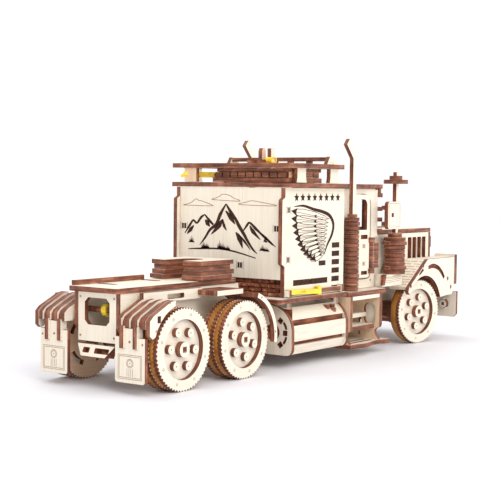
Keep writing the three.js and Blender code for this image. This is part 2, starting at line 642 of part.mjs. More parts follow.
/** Lid with a shallow spine, hinged along its lower front edge. */
function hoodLid() {
  return piece([
    block(LID_X0, HOOD_X1, -HOOD_HALF, HOOD_HALF, HOOD_Z0, HOOD_Z1),
    block(LID_X0 + 4, HOOD_X1 - 6, -5, 5, HOOD_Z1 - WELD, HOOD_Z1 + 1.2),
  ]);
}

function engineBlock() {
  const x0 = FRONT_X - 46;
  const z0 = PLATFORM_Z0;
  const heads = [0, 1, 2, 3, 4, 5].map((i) => (
    block(x0 + 4 + i * 12, x0 + 12 + i * 12, -9, 9, z0 + 20 - WELD, z0 + 30)));
  return piece([
    block(x0, x0 + 76, -14, 14, z0, z0 + 20), ...heads, block(x0 + 6, x0 + 70, -16, -13.9, z0 + 8, z0 + 14),
    rodY(x0 + 10, z0 + 26, 3, 8, 13, 8),
  ]);
}

/** Box beside the firewall that carries the air cleaner. */
function cowlBox() {
  const z1 = AIR_Z0 - GAP;
  return block(HOOD_X0 + 1.5, FRONT_X - ARCH_R + 1.8, HOOD_HALF + GAP, AIR_Y + 3, CAB_BOARD_Z1 + GAP, z1);
}

/** Air cleaner of stacked plies, its rain cap, and the mirror on the same post. */
function airCleaner() {
  const z = AIR_Z0;
  const body = discStack(AIR_X, AIR_Y, z, [
    [AIR_R, z + 3.5], [AIR_WIDE_R, z + 7], [AIR_R, z + 24.5], [AIR_WIDE_R, z + 28], [AIR_R, z + 32],
    [6, z + 36], [2, z + 77], [AIR_WIDE_R, z + 80.5], [5.5, z + 84], [1.8, z + 87],
  ], 14);
  const mirror = softRectangle(AIR_X - 21, AIR_X + 1, z + 39, z + 62, 3);
  const y0 = AIR_Y + 1.2;
  return piece([body, sheet('XZ', mirror, y0, y0 + PLY)]);
}

/** Muffler of stacked plies with a bent flat pipe rising from it. */
function exhaust() {
  const x = EXHAUST_X;
  const z = CAB_BOARD_Z1 + GAP;
  const tip = PLATFORM_Z1 + EXHAUST_RISE;
  const wide = MUFFLER_R + 0.5;
  const stack = discStack(x, EXHAUST_Y, z, [
    [MUFFLER_R, z + 9], [wide, z + 12.5], [MUFFLER_R, z + 52], [wide, z + 55.5], [MUFFLER_R, z + 59], [3.9, z + 62],
  ], 12);
  const pipe = outline([
    [x - 2.5, z + 58], [x + 2.5, z + 58], [x + 2.5, tip - 13], [x - 5.5, tip - 3.5], [x - 4, tip - 1],
    [x - 8.5, tip], [x - 12.5, tip - 4.5], [x - 2.5, tip - 15.5],
  ]);
  return piece([stack, sheet('XZ', pipe, EXHAUST_Y - PLY / 2, EXHAUST_Y + PLY / 2)]);
}

// ---------------------------------------------------------------- front end
/** Fender: side plate with the wheel arch, boards over the wheel and a plate at the nose. */
function frontFender() {
  const [toes] = arcPoints(FRONT_X, AXLE_Z, ARCH_R + 4.8, 141, 0, 1);
  const peak = [FRONT_X + 5, FENDER_TOP];
  const arch = arcPoints(FRONT_X, AXLE_Z, ARCH_R, 20, 139, 8);
  const side = outline([
    toes, ...arch.slice().reverse(), [FRONT_X + 44, AXLE_Z + 12], [FENDER_PLATE_X1 - 7, AXLE_Z + 12],
    [FENDER_PLATE_X1, AXLE_Z + 18], [FENDER_PLATE_X1, FENDER_TOP], peak,
  ]);
  const slits = [
    outline([...arcPoints(FRONT_X, AXLE_Z, ARCH_R + 4.5, 42, 82, 4), ...arcPoints(FRONT_X, AXLE_Z, ARCH_R + 8, 82, 42, 4)]),
    softRectangle(FENDER_X1 - 4, FENDER_X1 - 1, AXLE_Z + 22, FENDER_TOP - 6, 1),
  ];
  const boards = outline([
    toes, [toes[0] + 2.1, toes[1] - 3], [peak[0] + 1, peak[1] - PLY], [FENDER_X1 + WELD, peak[1] - PLY],
    [FENDER_X1 + WELD, peak[1]], peak,
  ]);
  const nose = sheet('YZ', rectangle(FENDER_Y0, FENDER_Y2, AXLE_Z + 18, FENDER_TOP), FENDER_X1, FENDER_PLATE_X1);
  return piece([
    sheet('XZ', side, FENDER_Y1, FENDER_Y2, slits), sheet('XZ', boards, FENDER_Y0, FENDER_Y1 + WELD), nose,
  ]);
}

function bumper() {
  const half = FENDER_Y2;
  const z0 = AXLE_Z - 10;
  const z1 = AXLE_Z + 14;
  const lamps = [-1, 1].map((s) => circle(s * (half - 12), z0 + 12, 4.5, 12));
  const shape = outline([
    [-half + 3, z0], [half - 3, z0], [half, z0 + 3], [half, z1], [RAIL_HALF + 8, z1], [RAIL_HALF, z1 + 12],
    [-RAIL_HALF, z1 + 12], [-RAIL_HALF - 8, z1], [-half, z1], [-half, z0 + 3],
  ]);
  return sheet('YZ', shape, BUMPER_X0, BUMPER_X1, lamps);
}

const EAR_IN = 5.3; // ears above and below the knuckle block
const EAR_R = 4;
const KINGPIN_R = 2;
const TIE_X = FRONT_X - STEER_ARM;

/** Beam under the rails with forked ends for the steering knuckles. */
function frontBeam() {
  const ears = [1, -1].flatMap((side) => [EAR_IN, -EAR_IN - PLY].map((z) => {
    const y0 = 28;
    const tip = arcPoints(FRONT_X, KINGPIN_Y, EAR_R, 0, 180, 6);
    const shape = outline([[FRONT_X - EAR_R, y0], [FRONT_X + EAR_R, y0], ...tip].map(([a, b]) => [a, side * b]));
    return sheet('XY', shape, AXLE_Z + z, AXLE_Z + z + PLY, [
      circle(FRONT_X, side * KINGPIN_Y, KINGPIN_R + 0.6, 10),
    ]);
  }));
  const top = RAIL_Z0 - GAP;
  return piece([
    block(FRONT_X - 6, FRONT_X + 6, -29, 29, AXLE_Z - EAR_IN - PLY, top),
    ...ears,
  ]);
}

/** Steering knuckle about its own kingpin, pointing straight ahead. */
function knuckle(side) {
  const stub = sheet('XZ', circle(0, 0, AXLE_R, 12), Math.min(0, side * 16), Math.max(0, side * 16));
  return piece([
    block(-5, 5, -4, 4, -EAR_IN + GAP, EAR_IN - GAP), rodZ(0, 0, KINGPIN_R, -EAR_IN - PLY, EAR_IN + PLY, 10), stub,
    block(-STEER_ARM - 3, 0, -2.5, 2.5, -EAR_IN + GAP, -EAR_IN + GAP + PLY),
    rodZ(-STEER_ARM, 0, 1.5, -EAR_IN - PLY - 1, -EAR_IN + GAP + WELD, 8),
  ]);
}

/** Rod between the steering arms, slotted for the swing of their pins. */
function tieRod() {
  const shift = -STEER_ARM * Math.sin(THREE.MathUtils.degToRad(STEER_REST));
  const half = KINGPIN_Y + 3.4;
  const slot = (side) => softRectangle(TIE_X - 2.4, TIE_X + 3.4, side * KINGPIN_Y - 2.3, side * KINGPIN_Y + 2.3, 0.8);
  const rod = sheet('XY', softRectangle(TIE_X - 4.2, TIE_X + 5.2, -half, half, 1), 0, PLY, [slot(1), slot(-1)]);
  return rod.translate(0, shift, AXLE_Z - EAR_IN - PLY);
}

// ---------------------------------------------------------------- wheels, axles and drive
/** Wheel with its outer face at y = 0, axis along Y, outside towards +Y. */
function wheel(plies) {
  const rim = sheet('XZ', toothedCircle(WHEEL_R, TOOTH_DEPTH, TOOTH_COUNT), -PLY, 0, [
    circle(0, 0, RIM_HOLE_R, 18),
  ]);
  const core = sheet('XZ', circle(0, 0, BAND_R, 24), -plies * PLY, -PLY + WELD);
  const lugs = arcPoints(0, 0, LUG_CIRCLE_R, 30, 330, 5).map(([x, z]) => (
    sheet('XZ', circle(x, z, LUG_R, 6), -PLY, 0)));
  const hub = rodY(0, 0, HUB_R, -PLY, 0.8);
  const bore = rodY(0, 0, AXLE_R + GAP, -plies * PLY - 1, 2);
  return piece([rim, core, ...lugs, hub], [bore]);
}

function placeWheels(name, x, half, plies) {
  const left = add(`${name}_left`, wheel(plies), warmWood);
  left.position.set(x, half, AXLE_Z);
  const right = add(`${name}_right`, mirrored(wheel(plies)), warmWood);
  right.position.set(x, -half, AXLE_Z);
}

/** Middle axle with the gear that the motor drum drives. */
function midAxle() {
  const towardsDrum = Math.atan2(DRUM_Z - AXLE_Z, DRUM_X - MID_X);
  const gear = sheet('XZ', gearOutline(MID_X, AXLE_Z, AXLE_GEAR_TEETH, towardsDrum), 8, 8 + PLY);
  return piece([rodY(MID_X, AXLE_Z, AXLE_R, -WHEEL_HALF, WHEEL_HALF), gear]);
}

/** Motor drum: spool for the bands between two flanges, and the gear beside it. */
function motorDrum() {
  const towardsAxle = Math.atan2(AXLE_Z - DRUM_Z, MID_X - DRUM_X);
  const gap = towardsAxle + Math.PI / DRUM_GEAR_TEETH;
  return piece([
    rodY(DRUM_X, DRUM_Z, AXLE_R, -RAIL_HALF - 1.5, RAIL_HALF + 1.5),
    rodY(DRUM_X, DRUM_Z, SPOOL_R, -4 - WELD, 4 + WELD, 16),
    rodY(DRUM_X, DRUM_Z, SPOOL_R + 3, -4 - PLY, -4, 16), rodY(DRUM_X, DRUM_Z, SPOOL_R + 3, 4, 4 + PLY, 16),
    sheet('XZ', gearOutline(DRUM_X, DRUM_Z, DRUM_GEAR_TEETH, gap), 8, 8 + PLY),
    rodY(DRUM_X, DRUM_Z, AXLE_R + 1, 4, 9, 12),
  ]);
}

/** Rubber band stretched round the peg and the spool. */
function motorBand() {
  const along = Math.atan2(DRUM_Z - PEG_Z, DRUM_X - PEG_X);
  const reach = Math.hypot(DRUM_X - PEG_X, DRUM_Z - PEG_Z);
  const loop = (spare) => {
    const near = PEG_R + GAP + spare;
    const far = SPOOL_R + GAP + spare;
    const lean = THREE.MathUtils.radToDeg(Math.asin((far - near) / reach));
    const a = THREE.MathUtils.radToDeg(along);
    return outline([
      ...arcPoints(PEG_X, PEG_Z, near, a + 90 + lean, a + 270 - lean, 6),
      ...arcPoints(DRUM_X, DRUM_Z, far, a - 90 - lean, a + 90 + lean, 10),
    ]);
  };
  return sheet('XZ', loop(BAND_THICKNESS), -2, 2, [loop(0)]);
}

// ---------------------------------------------------------------- assembly
addPair('frame_rail', frameRail());
add('rear_panel', rearPanel());
add('rear_deck', rearDeck());
add('fifth_wheel', fifthWheel(), burntWood);
addPair('rear_fender', rearFender(), warmWood);
addPair('mudflap', mudflap());
addPair('mid_fender', midFender());

const slab = (x0, x1, half, z0, z1) => sheet('XY', softRectangle(x0, x1, -half, half, 2), z0, z1);
add('platform_board', slab(PLATFORM_X0, PLATFORM_X1, PLATFORM_HALF, PLATFORM_Z0, PLATFORM_Z1), warmWood);
add('cab_board', slab(CAB_BOARD_X0, CAB_X1, PLATFORM_HALF, CAB_BOARD_Z0, CAB_BOARD_Z1), warmWood);
addPair('fuel_tank', fuelTank());
addPair('step_box', stepBox(), warmWood);

add('sleeper_base', sleeperBase(), burntWood);
add('sleeper_rear_panel', sleeperRearPanel());
addPair('sleeper_side', sleeperSide());
add('sleeper_roof', slab(ROOF_X0, SLEEPER_X1 + 2, ROOF_HALF, ROOF_Z0, ROOF_Z1), warmWood);
add('roof_rack', roofRack(), warmWood);
add('release_lever', releaseLever(), burntWood);
add('roof_spoiler', roofSpoiler());

addPair('cab_side', cabSide());
addPair('door', door());
add('windshield_frame', windshieldFrame());
add('cab_roof', cabRoof(), warmWood);
addPair('hood_side', hoodSide());
add('grille', grille());
add('hood_lid', hoodLid());
add('engine_block', engineBlock(), warmWood);
addPair('cowl_box', cowlBox());
addPair('air_cleaner', airCleaner(), burntWood);
addPair('exhaust', exhaust(), burntWood);
addPair('front_fender', frontFender());
add('bumper', bumper());

add('rear_axle', rodY(REAR_X, AXLE_Z, AXLE_R, -WHEEL_HALF, WHEEL_HALF), warmWood);
add('mid_axle', midAxle(), warmWood);
add('motor_drum', motorDrum(), warmWood);
add('band_peg', rodY(PEG_X, PEG_Z, PEG_R, -RAIL_INNER + GAP, RAIL_INNER - GAP, 10), warmWood);
add('motor_band', motorBand(), yellowRubber);
placeWheels('rear_wheel', REAR_X, WHEEL_HALF, DUAL_PLIES);
placeWheels('mid_wheel', MID_X, WHEEL_HALF, DUAL_PLIES);

add('front_beam', frontBeam(), warmWood);
add('tie_rod', tieRod(), warmWood);
for (const [suffix, side] of [['left', 1], ['right', -1]]) {
  const steered = new THREE.Group();
  steered.position.set(FRONT_X, side * KINGPIN_Y, AXLE_Z);
  steered.rotation.z = THREE.MathUtils.degToRad(STEER_REST);
  const arm = new THREE.Mesh(knuckle(side), warmWood);
  arm.name = `knuckle_${suffix}`;
  const shape = side > 0 ? wheel(FRONT_PLIES) : mirrored(wheel(FRONT_PLIES));
  const turning = new THREE.Mesh(shape, warmWood);
  turning.name = `front_wheel_${suffix}`;
  turning.position.y = side * (FRONT_WHEEL_HALF - KINGPIN_Y);
  steered.add(arm, turning);
  truck.add(steered);
}

const rearmost = DECK_X0 - 0.9;
truck.position.x = -(rearmost + BUMPER_X1) / 2;
truck.name = 'truck';

const model = new THREE.Group();
model.add(truck);
export default model;
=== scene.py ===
"""Looks of a laser-cut plywood tractor model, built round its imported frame."""

import math

import bmesh
import bpy
from mathutils import Matrix, Vector
from mathutils.geometry import tessellate_polygon


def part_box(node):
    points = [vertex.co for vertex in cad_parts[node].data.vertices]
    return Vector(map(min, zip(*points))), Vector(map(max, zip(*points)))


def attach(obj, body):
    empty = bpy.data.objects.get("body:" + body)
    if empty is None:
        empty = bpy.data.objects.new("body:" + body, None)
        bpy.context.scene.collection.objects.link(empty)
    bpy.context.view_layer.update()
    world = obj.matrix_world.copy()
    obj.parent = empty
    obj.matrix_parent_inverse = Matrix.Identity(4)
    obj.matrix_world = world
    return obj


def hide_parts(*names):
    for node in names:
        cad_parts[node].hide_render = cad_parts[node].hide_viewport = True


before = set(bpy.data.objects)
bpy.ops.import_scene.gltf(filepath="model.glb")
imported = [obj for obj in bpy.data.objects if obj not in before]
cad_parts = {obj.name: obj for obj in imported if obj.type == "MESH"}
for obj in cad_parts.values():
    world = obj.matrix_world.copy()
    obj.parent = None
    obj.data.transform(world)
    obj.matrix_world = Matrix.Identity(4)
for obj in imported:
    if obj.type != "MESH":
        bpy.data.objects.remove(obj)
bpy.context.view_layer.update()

MM = 0.001
PLY = 3.5
HAIR = 0.12  # how far engraved ink stands off its face
SINK = 0.05  # how far it goes into the face
SLIT = 0.3  # open line between stacked plies
HINGE_REACH = 6.9  # hinge barrel beyond the cab wall
BEVEL = 0.16


# ---- places, in mm
def low(node):
    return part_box(node)[0] / MM


def high(node):
    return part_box(node)[1] / MM


def middle(node):
    return (low(node) + high(node)) / 2


def span(node):
    """x0, x1, y0, y1, z0, z1 of a node, with y counted outward from the middle plane."""
    a, b = low(node), high(node)
    y0, y1 = sorted((abs(a.y), abs(b.y)))
    return a.x, b.x, y0, y1, a.z, b.z


SIDES = ((1, "left"), (-1, "right"))
REAR = middle("rear_axle")
FRONT = Vector((middle("front_beam").x, 0, REAR.z))
WHEEL_R = middle("rear_wheel_left").z
STEER_REST = math.radians(-10.3)
SLEEPER_X = (low("sleeper_side_left").x, high("sleeper_side_left").x)


# ---- materials
PALE = [(0.28, (0.69, 0.59, 0.47)), (0.5, (0.78, 0.70, 0.58)), (0.72, (0.83, 0.77, 0.66))]
WARM = [(0.28, (0.58, 0.39, 0.24)), (0.5, (0.68, 0.48, 0.32)), (0.72, (0.76, 0.57, 0.41))]
BURNT = [(0.28, (0.050, 0.011, 0.005)), (0.44, (0.14, 0.040, 0.018)), (0.58, (0.26, 0.085, 0.040)),
         (0.76, (0.54, 0.25, 0.14))]
WOOD_ROUGHNESS = 0.62
RELIEF = 0.0002  # depth of the fine grain, in m
FACE_FROM, FACE_TO = 0.80, 0.93  # share of the normal across the sheet, from burnt edge to sanded face


def feed(tree, socket, value):
    """Sets a socket to a number, or links another socket to it."""
    if isinstance(value, bpy.types.NodeSocket):
        tree.links.new(value, socket)
    else:
        socket.default_value = value


def connect(tree, node, **values):
    """Feeds a node's inputs by name; _ in a name stands for a space."""
    for name, value in values.items():
        feed(tree, node.inputs[name.replace("_", " ")], value)


def add_node(tree, kind, **values):
    node = tree.nodes.new(f"ShaderNode{kind}")
    connect(tree, node, **values)
    return node


def new_material(name, roughness):
    material = bpy.data.materials.new(name)
    material.use_nodes = True
    tree = material.node_tree
    shader = tree.nodes["Principled BSDF"]
    connect(tree, shader, Roughness=roughness)
    return material, tree, shader, add_node(tree, "TexCoord").outputs


def noise(tree, coords, scale, detail, stretch):
    mapping = add_node(tree, "Mapping", Scale=stretch, Vector=coords)
    node = add_node(tree, "TexNoise", Scale=scale, Detail=detail, Vector=mapping.outputs["Vector"])
    return node.outputs["Fac"]


def ramp(tree, value, stops):
    node = add_node(tree, "ValToRGB", Fac=value)
    elements = node.color_ramp.elements
    while len(elements) < len(stops):
        elements.new(0.5)
    for element, (place, color) in zip(elements, stops):
        element.position = place
        element.color = (*color, 1)
    return node.outputs["Color"]


def mix(tree, factor, first, second):
    node = add_node(tree, "Mix")
    node.data_type = "RGBA"
    connect(tree, node, Factor=factor, A=first, B=second)
    return node.outputs["Result"]


def compute(tree, operation, *values):
    """Math node over sockets and numbers."""
    node = add_node(tree, "Math")
    node.operation = operation
    for socket, value in zip(node.inputs, values):
        feed(tree, socket, value)
    return node.outputs[0]


def blend(tree, first, share, second):
    """A share of one noise and the rest of another."""
    return compute(tree, "MULTIPLY_ADD", first, share, compute(tree, "MULTIPLY", second, 1 - share))


def coat(tree, shader, color, height, strength):
    """Colour of a material and the fine relief that goes with it."""
    bump = add_node(tree, "Bump", Strength=strength, Distance=RELIEF, Height=height)
    connect(tree, shader, Base_Color=color, Normal=bump.outputs["Normal"])


def stretch_along(axis, along, across):
    """Scale that leaves long streaks along one axis of the sheet."""
    return tuple(along if i == axis else across for i in range(3))


def plywood(name, normal_axis, grain_axis, faces):
    """Sheet with sanded faces across normal_axis and laser-burnt edges round them."""
    material, tree, shader, coords = new_material(name, WOOD_ROUGHNESS)
    point = coords["Object"]
    streaks = noise(tree, point, 900, 3, stretch_along(grain_axis, 0.05, 1))
    cloud = noise(tree, point, 28, 2, stretch_along(grain_axis, 0.35, 1))
    face = ramp(tree, blend(tree, streaks, 0.55, cloud), faces)
    layers = noise(tree, point, 620, 1, stretch_along(normal_axis, 1, 0.06))
    soot = noise(tree, point, 160, 3, (1, 1, 1))
    edge = ramp(tree, blend(tree, layers, 0.6, soot), BURNT)

    split = add_node(tree, "SeparateXYZ", Vector=coords["Normal"])
    broad = compute(tree, "ABSOLUTE", split.outputs[normal_axis])
    step = add_node(tree, "MapRange", From_Min=FACE_FROM, From_Max=FACE_TO, Value=broad)
    coat(tree, shader, mix(tree, step.outputs["Result"], edge, face), streaks, 0.25)
    return material


def plain(name, stops, roughness, scale, stretch=(1, 1, 1)):
    """One finish all over, with its own fine variation."""
    material, tree, shader, coords = new_material(name, roughness)
    grain = noise(tree, coords["Object"], scale, 3, stretch)
    coat(tree, shader, ramp(tree, grain, stops), grain, 0.2)
    connect(tree, shader, Specular_IOR_Level=0.25)
    return material


def rubber(name, dark, light):
    """Smooth stretched rubber band."""
    material = plain(name, [(0.35, dark), (0.65, light)], 0.38, 120)
    connect(material.node_tree, material.node_tree.nodes["Principled BSDF"], Subsurface_Weight=0.15,
            Subsurface_Radius=(0.002, 0.001, 0.0004), Coat_Weight=0.15)
    return material


# the three directions a sheet can face: across X, across Y, across Z
BIRCH, TAN = ([plywood(f"{stem}_{axis}", normal, grain, faces)
               for axis, normal, grain in (("x", 0, 2), ("y", 1, 0), ("z", 2, 0))]
              for stem, faces in (("ply", PALE), ("warm", WARM)))
BARE = plain("bare_face", PALE, WOOD_ROUGHNESS, 300, (0.1, 1, 1))
# burnt-edge finish of laser-cut edges; also sunk in cuts, slots and behind openings as painted shade
BURNT_EDGE_AND_SHADE = plain("burnt_edge_and_painted_shade", BURNT, 0.7, 260, (0.2, 1, 1))
INK = plain("engraving", [(0.3, (0.020, 0.007, 0.004)), (0.7, (0.065, 0.024, 0.014))], 0.8, 400)
FINE_INK = plain("light_engraving", [(0.3, (0.22, 0.11, 0.065)), (0.7, (0.34, 0.19, 0.12))], 0.7, 400)
YELLOW = rubber("yellow_rubber", (0.80, 0.53, 0.02), (0.93, 0.70, 0.06))
AMBER = rubber("amber_rubber", (0.32, 0.12, 0.018), (0.52, 0.23, 0.04))
MATERIALS = [*BIRCH, *TAN, BARE, BURNT_EDGE_AND_SHADE, INK, FINE_INK, YELLOW, AMBER]
AXIS_OF = {"YZ": 0, "XZ": 1, "XY": 2}


# ---- outlines
def polar(radius, degrees, a=0, b=0):
    """Point at an angle on a circle round (a, b)."""
    angle = math.radians(degrees)
    return a + radius * math.cos(angle), b + radius * math.sin(angle)


def arc(a, b, radius, start, stop, steps):
    return [polar(radius, start + (stop - start) * i / steps, a, b) for i in range(steps + 1)]


def disc(a, b, radius, sides=32):
    return arc(a, b, radius, 0, 360 - 360 / sides, sides - 1)


def rect(a0, a1, b0, b1):
    return [(a0, b0), (a1, b0), (a1, b1), (a0, b1)]


def at(a, b, *points):
    """Points given from (a, b)."""
    return [(a + p, b + q) for p, q in points]


def inset(box, width):
    """The same a0, a1, b0, b1 moved in on all sides."""
    return box[0] + width, box[1] - width, box[2] + width, box[3] - width


def soft(a0, a1, b0, b1, r, steps=4):
    """Rectangle with round corners."""
    return (arc(a1 - r, b0 + r, r, -90, 0, steps) + arc(a1 - r, b1 - r, r, 0, 90, steps)
            + arc(a0 + r, b1 - r, r, 90, 180, steps) + arc(a0 + r, b0 + r, r, 180, 270, steps))


def toothed(radius, depth, teeth):
    """Wheel outline with short flat teeth, one of them pointing down."""
    root = radius - depth
    points = []
    for i in range(teeth):
        for share, r in ((-0.30, root), (-0.2, radius), (0.2, radius), (0.30, root)):
            angle = -math.pi / 2 + 2 * math.pi * (i + share) / teeth
            points.append((r * math.cos(angle), r * math.sin(angle)))
    return points


def star(a, b, radius):
    """Five-pointed star, standing on two points."""
    return [polar(radius if i % 2 == 0 else radius * 0.48, 90 + 36 * i, a, b) for i in range(10)]


def stroke(points, widths):
    """Outline of a pen stroke along points; widths is one number, or one per point."""
    if not hasattr(widths, "__len__"):
        widths = [widths] * len(points)
    left, right = [], []
    for i, point in enumerate(points):
        before = Vector(points[max(i - 1, 0)])
        after = Vector(points[min(i + 1, len(points) - 1)])
        along = (after - before).normalized()
        across = Vector((-along.y, along.x)) * widths[i] / 2
        left.append(tuple(Vector(point) + across))
        right.append(tuple(Vector(point) - across))
    return left + right[::-1]


def smooth(points, steps=4):
    """Catmull-Rom curve through points."""
    out = []
    for i in range(len(points) - 1):
        p0, p1 = Vector(points[max(i - 1, 0)]), Vector(points[i])
        p2, p3 = Vector(points[i + 1]), Vector(points[min(i + 2, len(points) - 1)])
        for s in range(steps):
            t = s / steps
            out.append(tuple(0.5 * (2 * p1 + (p2 - p0) * t + (2 * p0 - 5 * p1 + 4 * p2 - p3) * t * t
                                    + (3 * p1 - 3 * p2 + p3 - p0) * t ** 3)))
    return out + [tuple(points[-1])]


def spread(values, steps=4):
    """Widths for every point that smooth() makes."""
    out = []
    for first, second in zip(values, values[1:]):
        out += [first + (second - first) * i / steps for i in range(steps)]
    return out + [values[-1]]


# ---- building pieces
class Piece:
    """Closed solids gathered into one mesh, in mm, which may take a CAD node's place."""

    def __init__(self, name, side=1, node=None):
        self.name = name
        self.side = side
        self.node = node
        self.bm = bmesh.new()

    def _place(self, plane, a, b, c):
        x, y, z = {"YZ": (c, a, b), "XZ": (a, c, b), "XY": (a, b, c)}[plane]
        return Vector((x, y * self.side, z))

    def _close(self, faces, look):
        for face in faces:
            face.material_index = MATERIALS.index(look)
        bmesh.ops.recalc_face_normals(self.bm, faces=faces)

    def sheet(self, plane, outline, start, end, holes=(), look=BIRCH):
        """Flat sheet between two positions along its normal; look is its finish, or one per axis."""
        loops = [list(outline), *[list(h) for h in holes]]
        flat = [[Vector((a, b, 0)) for a, b in loop] for loop in loops]
        bottom, top = ([[self.bm.verts.new(self._place(plane, a, b, c)) for a, b in loop] for loop in loops]
                       for c in (start, end))
        bottoms = [v for loop in bottom for v in loop]
        tops = [v for loop in top for v in loop]
        faces = []
        for i, j, k in tessellate_polygon(flat):
            faces.append(self.bm.faces.new((bottoms[i], bottoms[j], bottoms[k])))
            faces.append(self.bm.faces.new((tops[i], tops[k], tops[j])))
        for under, over in zip(bottom, top):
            for i in range(len(under)):
                j = (i + 1) % len(under)
                faces.append(self.bm.faces.new((under[i], under[j], over[j], over[i])))
        self._close(faces, look[AXIS_OF[plane]] if isinstance(look, list) else look)

    def block(self, x0, x1, y0, y1, z0, z1, look=BIRCH, plane=None):
        """Strip of sheet; its thin direction is its normal unless plane says so."""
        sizes = {"YZ": x1 - x0, "XZ": y1 - y0, "XY": z1 - z0}
        plane = plane or min(sizes, key=sizes.get)
        outline, ends = {
            "YZ": (rect(y0, y1, z0, z1), (x0, x1)),
            "XZ": (rect(x0, x1, z0, z1), (y0, y1)),
            "XY": (rect(x0, x1, y0, y1), (z0, z1)),
        }[plane]
        self.sheet(plane, outline, *ends, look=look)

    def puck(self, x, y, radius, sides, z0, z1):
        self.sheet("XY", disc(x, y, radius, sides), z0, z1, look=TAN)

    def lathe(self, profile, sides, look):
        """Closed ring about the Y axis through the origin, from (radius, y) points."""
        rows = []
        for i in range(sides):
            angle = 2 * math.pi * i / sides
            c, s = math.cos(angle), math.sin(angle)
            rows.append([self.bm.verts.new((r * c, y, r * s)) for r, y in profile])
        faces = []
        for a, b in zip(rows, rows[1:] + rows[:1]):
            for j in range(len(profile)):
                k = (j + 1) % len(profile)
                faces.append(self.bm.faces.new((a[j], b[j], b[k], a[k])))
        for face in faces:
            face.smooth = True
        self._close(faces, look)

    def finish(self, slot="pale_plywood", body="chassis", matrix=None, bevel=BEVEL):
        """Turns the gathered solids into one object that rides on a body."""
        mesh = bpy.data.meshes.new(self.name)
        self.bm.transform(Matrix.Scale(MM, 4))
        self.bm.to_mesh(mesh)
        self.bm.free()
        used = sorted({p.material_index for p in mesh.polygons})
        for index in used:
            mesh.materials.append(MATERIALS[index])
        for polygon in mesh.polygons:
            polygon.material_index = used.index(polygon.material_index)
        obj = bpy.data.objects.new(self.name, mesh)
        bpy.context.scene.collection.objects.link(obj)
        if matrix is not None:
            obj.matrix_world = matrix
        if bevel:
            bevel_edges(obj, bevel)
        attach(obj, body)
        if self.node:
            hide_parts(self.node)


def rebuilt(node, side=1):
    """Piece that takes a CAD node's place, and the node's span."""
    return Piece(f"{node}_plies", side, node), span(node)


def bevel_edges(obj, width):
    modifier = obj.modifiers.new("edges", "BEVEL")
    modifier.width = width * MM
    modifier.segments = 1
    modifier.limit_method = "ANGLE"
    modifier.angle_limit = math.radians(40)


def dress(node, look, bevel=BEVEL):
    """Gives a CAD node its finish and softened edges."""
    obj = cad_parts[node]
    obj.data.materials.clear()
    obj.data.materials.append(look)
    for polygon in obj.data.polygons:
        polygon.use_smooth = False
    if bevel:
        bevel_edges(obj, bevel)


class Marks:
    """Engraving on one face of a piece, as thin inlays; outward is the way the face looks."""

    def __init__(self, piece, plane, face, outward=1):
        self.piece = piece
        self.plane = plane
        self.ends = sorted((face - SINK * outward, face + HAIR * outward))

    def fill(self, shapes, look=INK):
        for shape in shapes:
            self.piece.sheet(self.plane, shape, *self.ends, look=look)

    def loop(self, outline, hole):
        """Thin closed line."""
        self.piece.sheet(self.plane, outline, *self.ends, [hole], FINE_INK)

    def eyes(self, places, radius):
        """Small round marks with a dot, as on the dowel ends."""
        for a, b in places:
            self.loop(disc(a, b, radius, 14), disc(a, b, radius - 0.3, 14))
            self.fill([disc(a, b, 0.45, 8)], FINE_INK)

    def tenon(self, a, b, along, across, gap, look=INK):
        """Tenon end with a short tick on either side, as in a mortise."""
        half, high_half, tick_half = along / 2, across / 2, across * 0.7
        self.fill([rect(a - half, a - 0.25, b - high_half, b + high_half),
                   rect(a + 0.25, a + half, b - high_half, b + high_half)], look)
        for s in (-1, 1):
            tick = a + s * (half + gap)
            self.fill([rect(tick - 0.13, tick + 0.13, b - tick_half, b + tick_half)], look)


# ---- wheels
TEETH, TOOTH_DEPTH = 60, 0.85
RIM_HOLE, WEB_OUTER, WEB_INNER = 20.2, 19, 15.5
LUG_CIRCLE, LUG_R, HUB_R = 12.8, 3.15, 5.25
RIVET_CIRCLE, RIVET_R = 23.6, 1.0
WHEEL_PHASES = {"rear": 5, "mid": 19, "front": 41}  # degrees the lugs are turned by
KINGPIN_Y, STUB_REACH = 37, 16.5


def wheel_plies(name, plies, phase):
    """Toothed plies with a recessed disc, lugs and hub, outer face at y = 0."""
    part = Piece(f"{name}_plies", node=name)
    rim = toothed(WHEEL_R, TOOTH_DEPTH, TEETH)
    part.sheet("XZ", rim, -PLY, 0, [disc(0, 0, RIM_HOLE, 48)])
    web_slots = [arc(0, 0, WEB_OUTER, a, a + 46, 6) + arc(0, 0, WEB_INNER, a + 46, a, 6)
                 for a in range(22 + phase, 382 + phase, 90)]
    smaller = disc(0, 0, WHEEL_R - (1.2 if plies == 3 else 4.5), 48)
    for i in range(1, plies):
        outline = rim if plies > 3 and i % 2 == 0 else smaller
        holes, look = (web_slots, TAN) if i == plies - 1 else ((), BIRCH)
        part.sheet("XZ", outline, -(i + 1) * PLY + 0.04, -i * PLY - 0.04, holes, look)
    for angle in range(0, 360, 60):
        lug = polar(LUG_CIRCLE, angle + phase)
        part.sheet("XZ", disc(*lug, LUG_R, 18), -PLY - SINK, -0.2)
        part.sheet("XZ", disc(*lug, 0.55, 8), -0.25, -0.2 + HAIR, look=FINE_INK)
    part.sheet("XZ", disc(0, 0, HUB_R, 24), -PLY - SINK, 0.7, [rect(-1.9, 1.9, -1.9, 1.9)])
    part.sheet("XZ", rect(-1.5, 1.5, -1.5, 1.5), -plies * PLY + 0.5, 0.75, look=BURNT_EDGE_AND_SHADE)
    marks = Marks(part, "XZ", 0)
    for k in range(8):
        rivet = polar(RIVET_CIRCLE, k * 45 + phase + 12)
        marks.loop(disc(*rivet, RIVET_R, 10), disc(*rivet, RIVET_R - 0.35, 10))
    return part


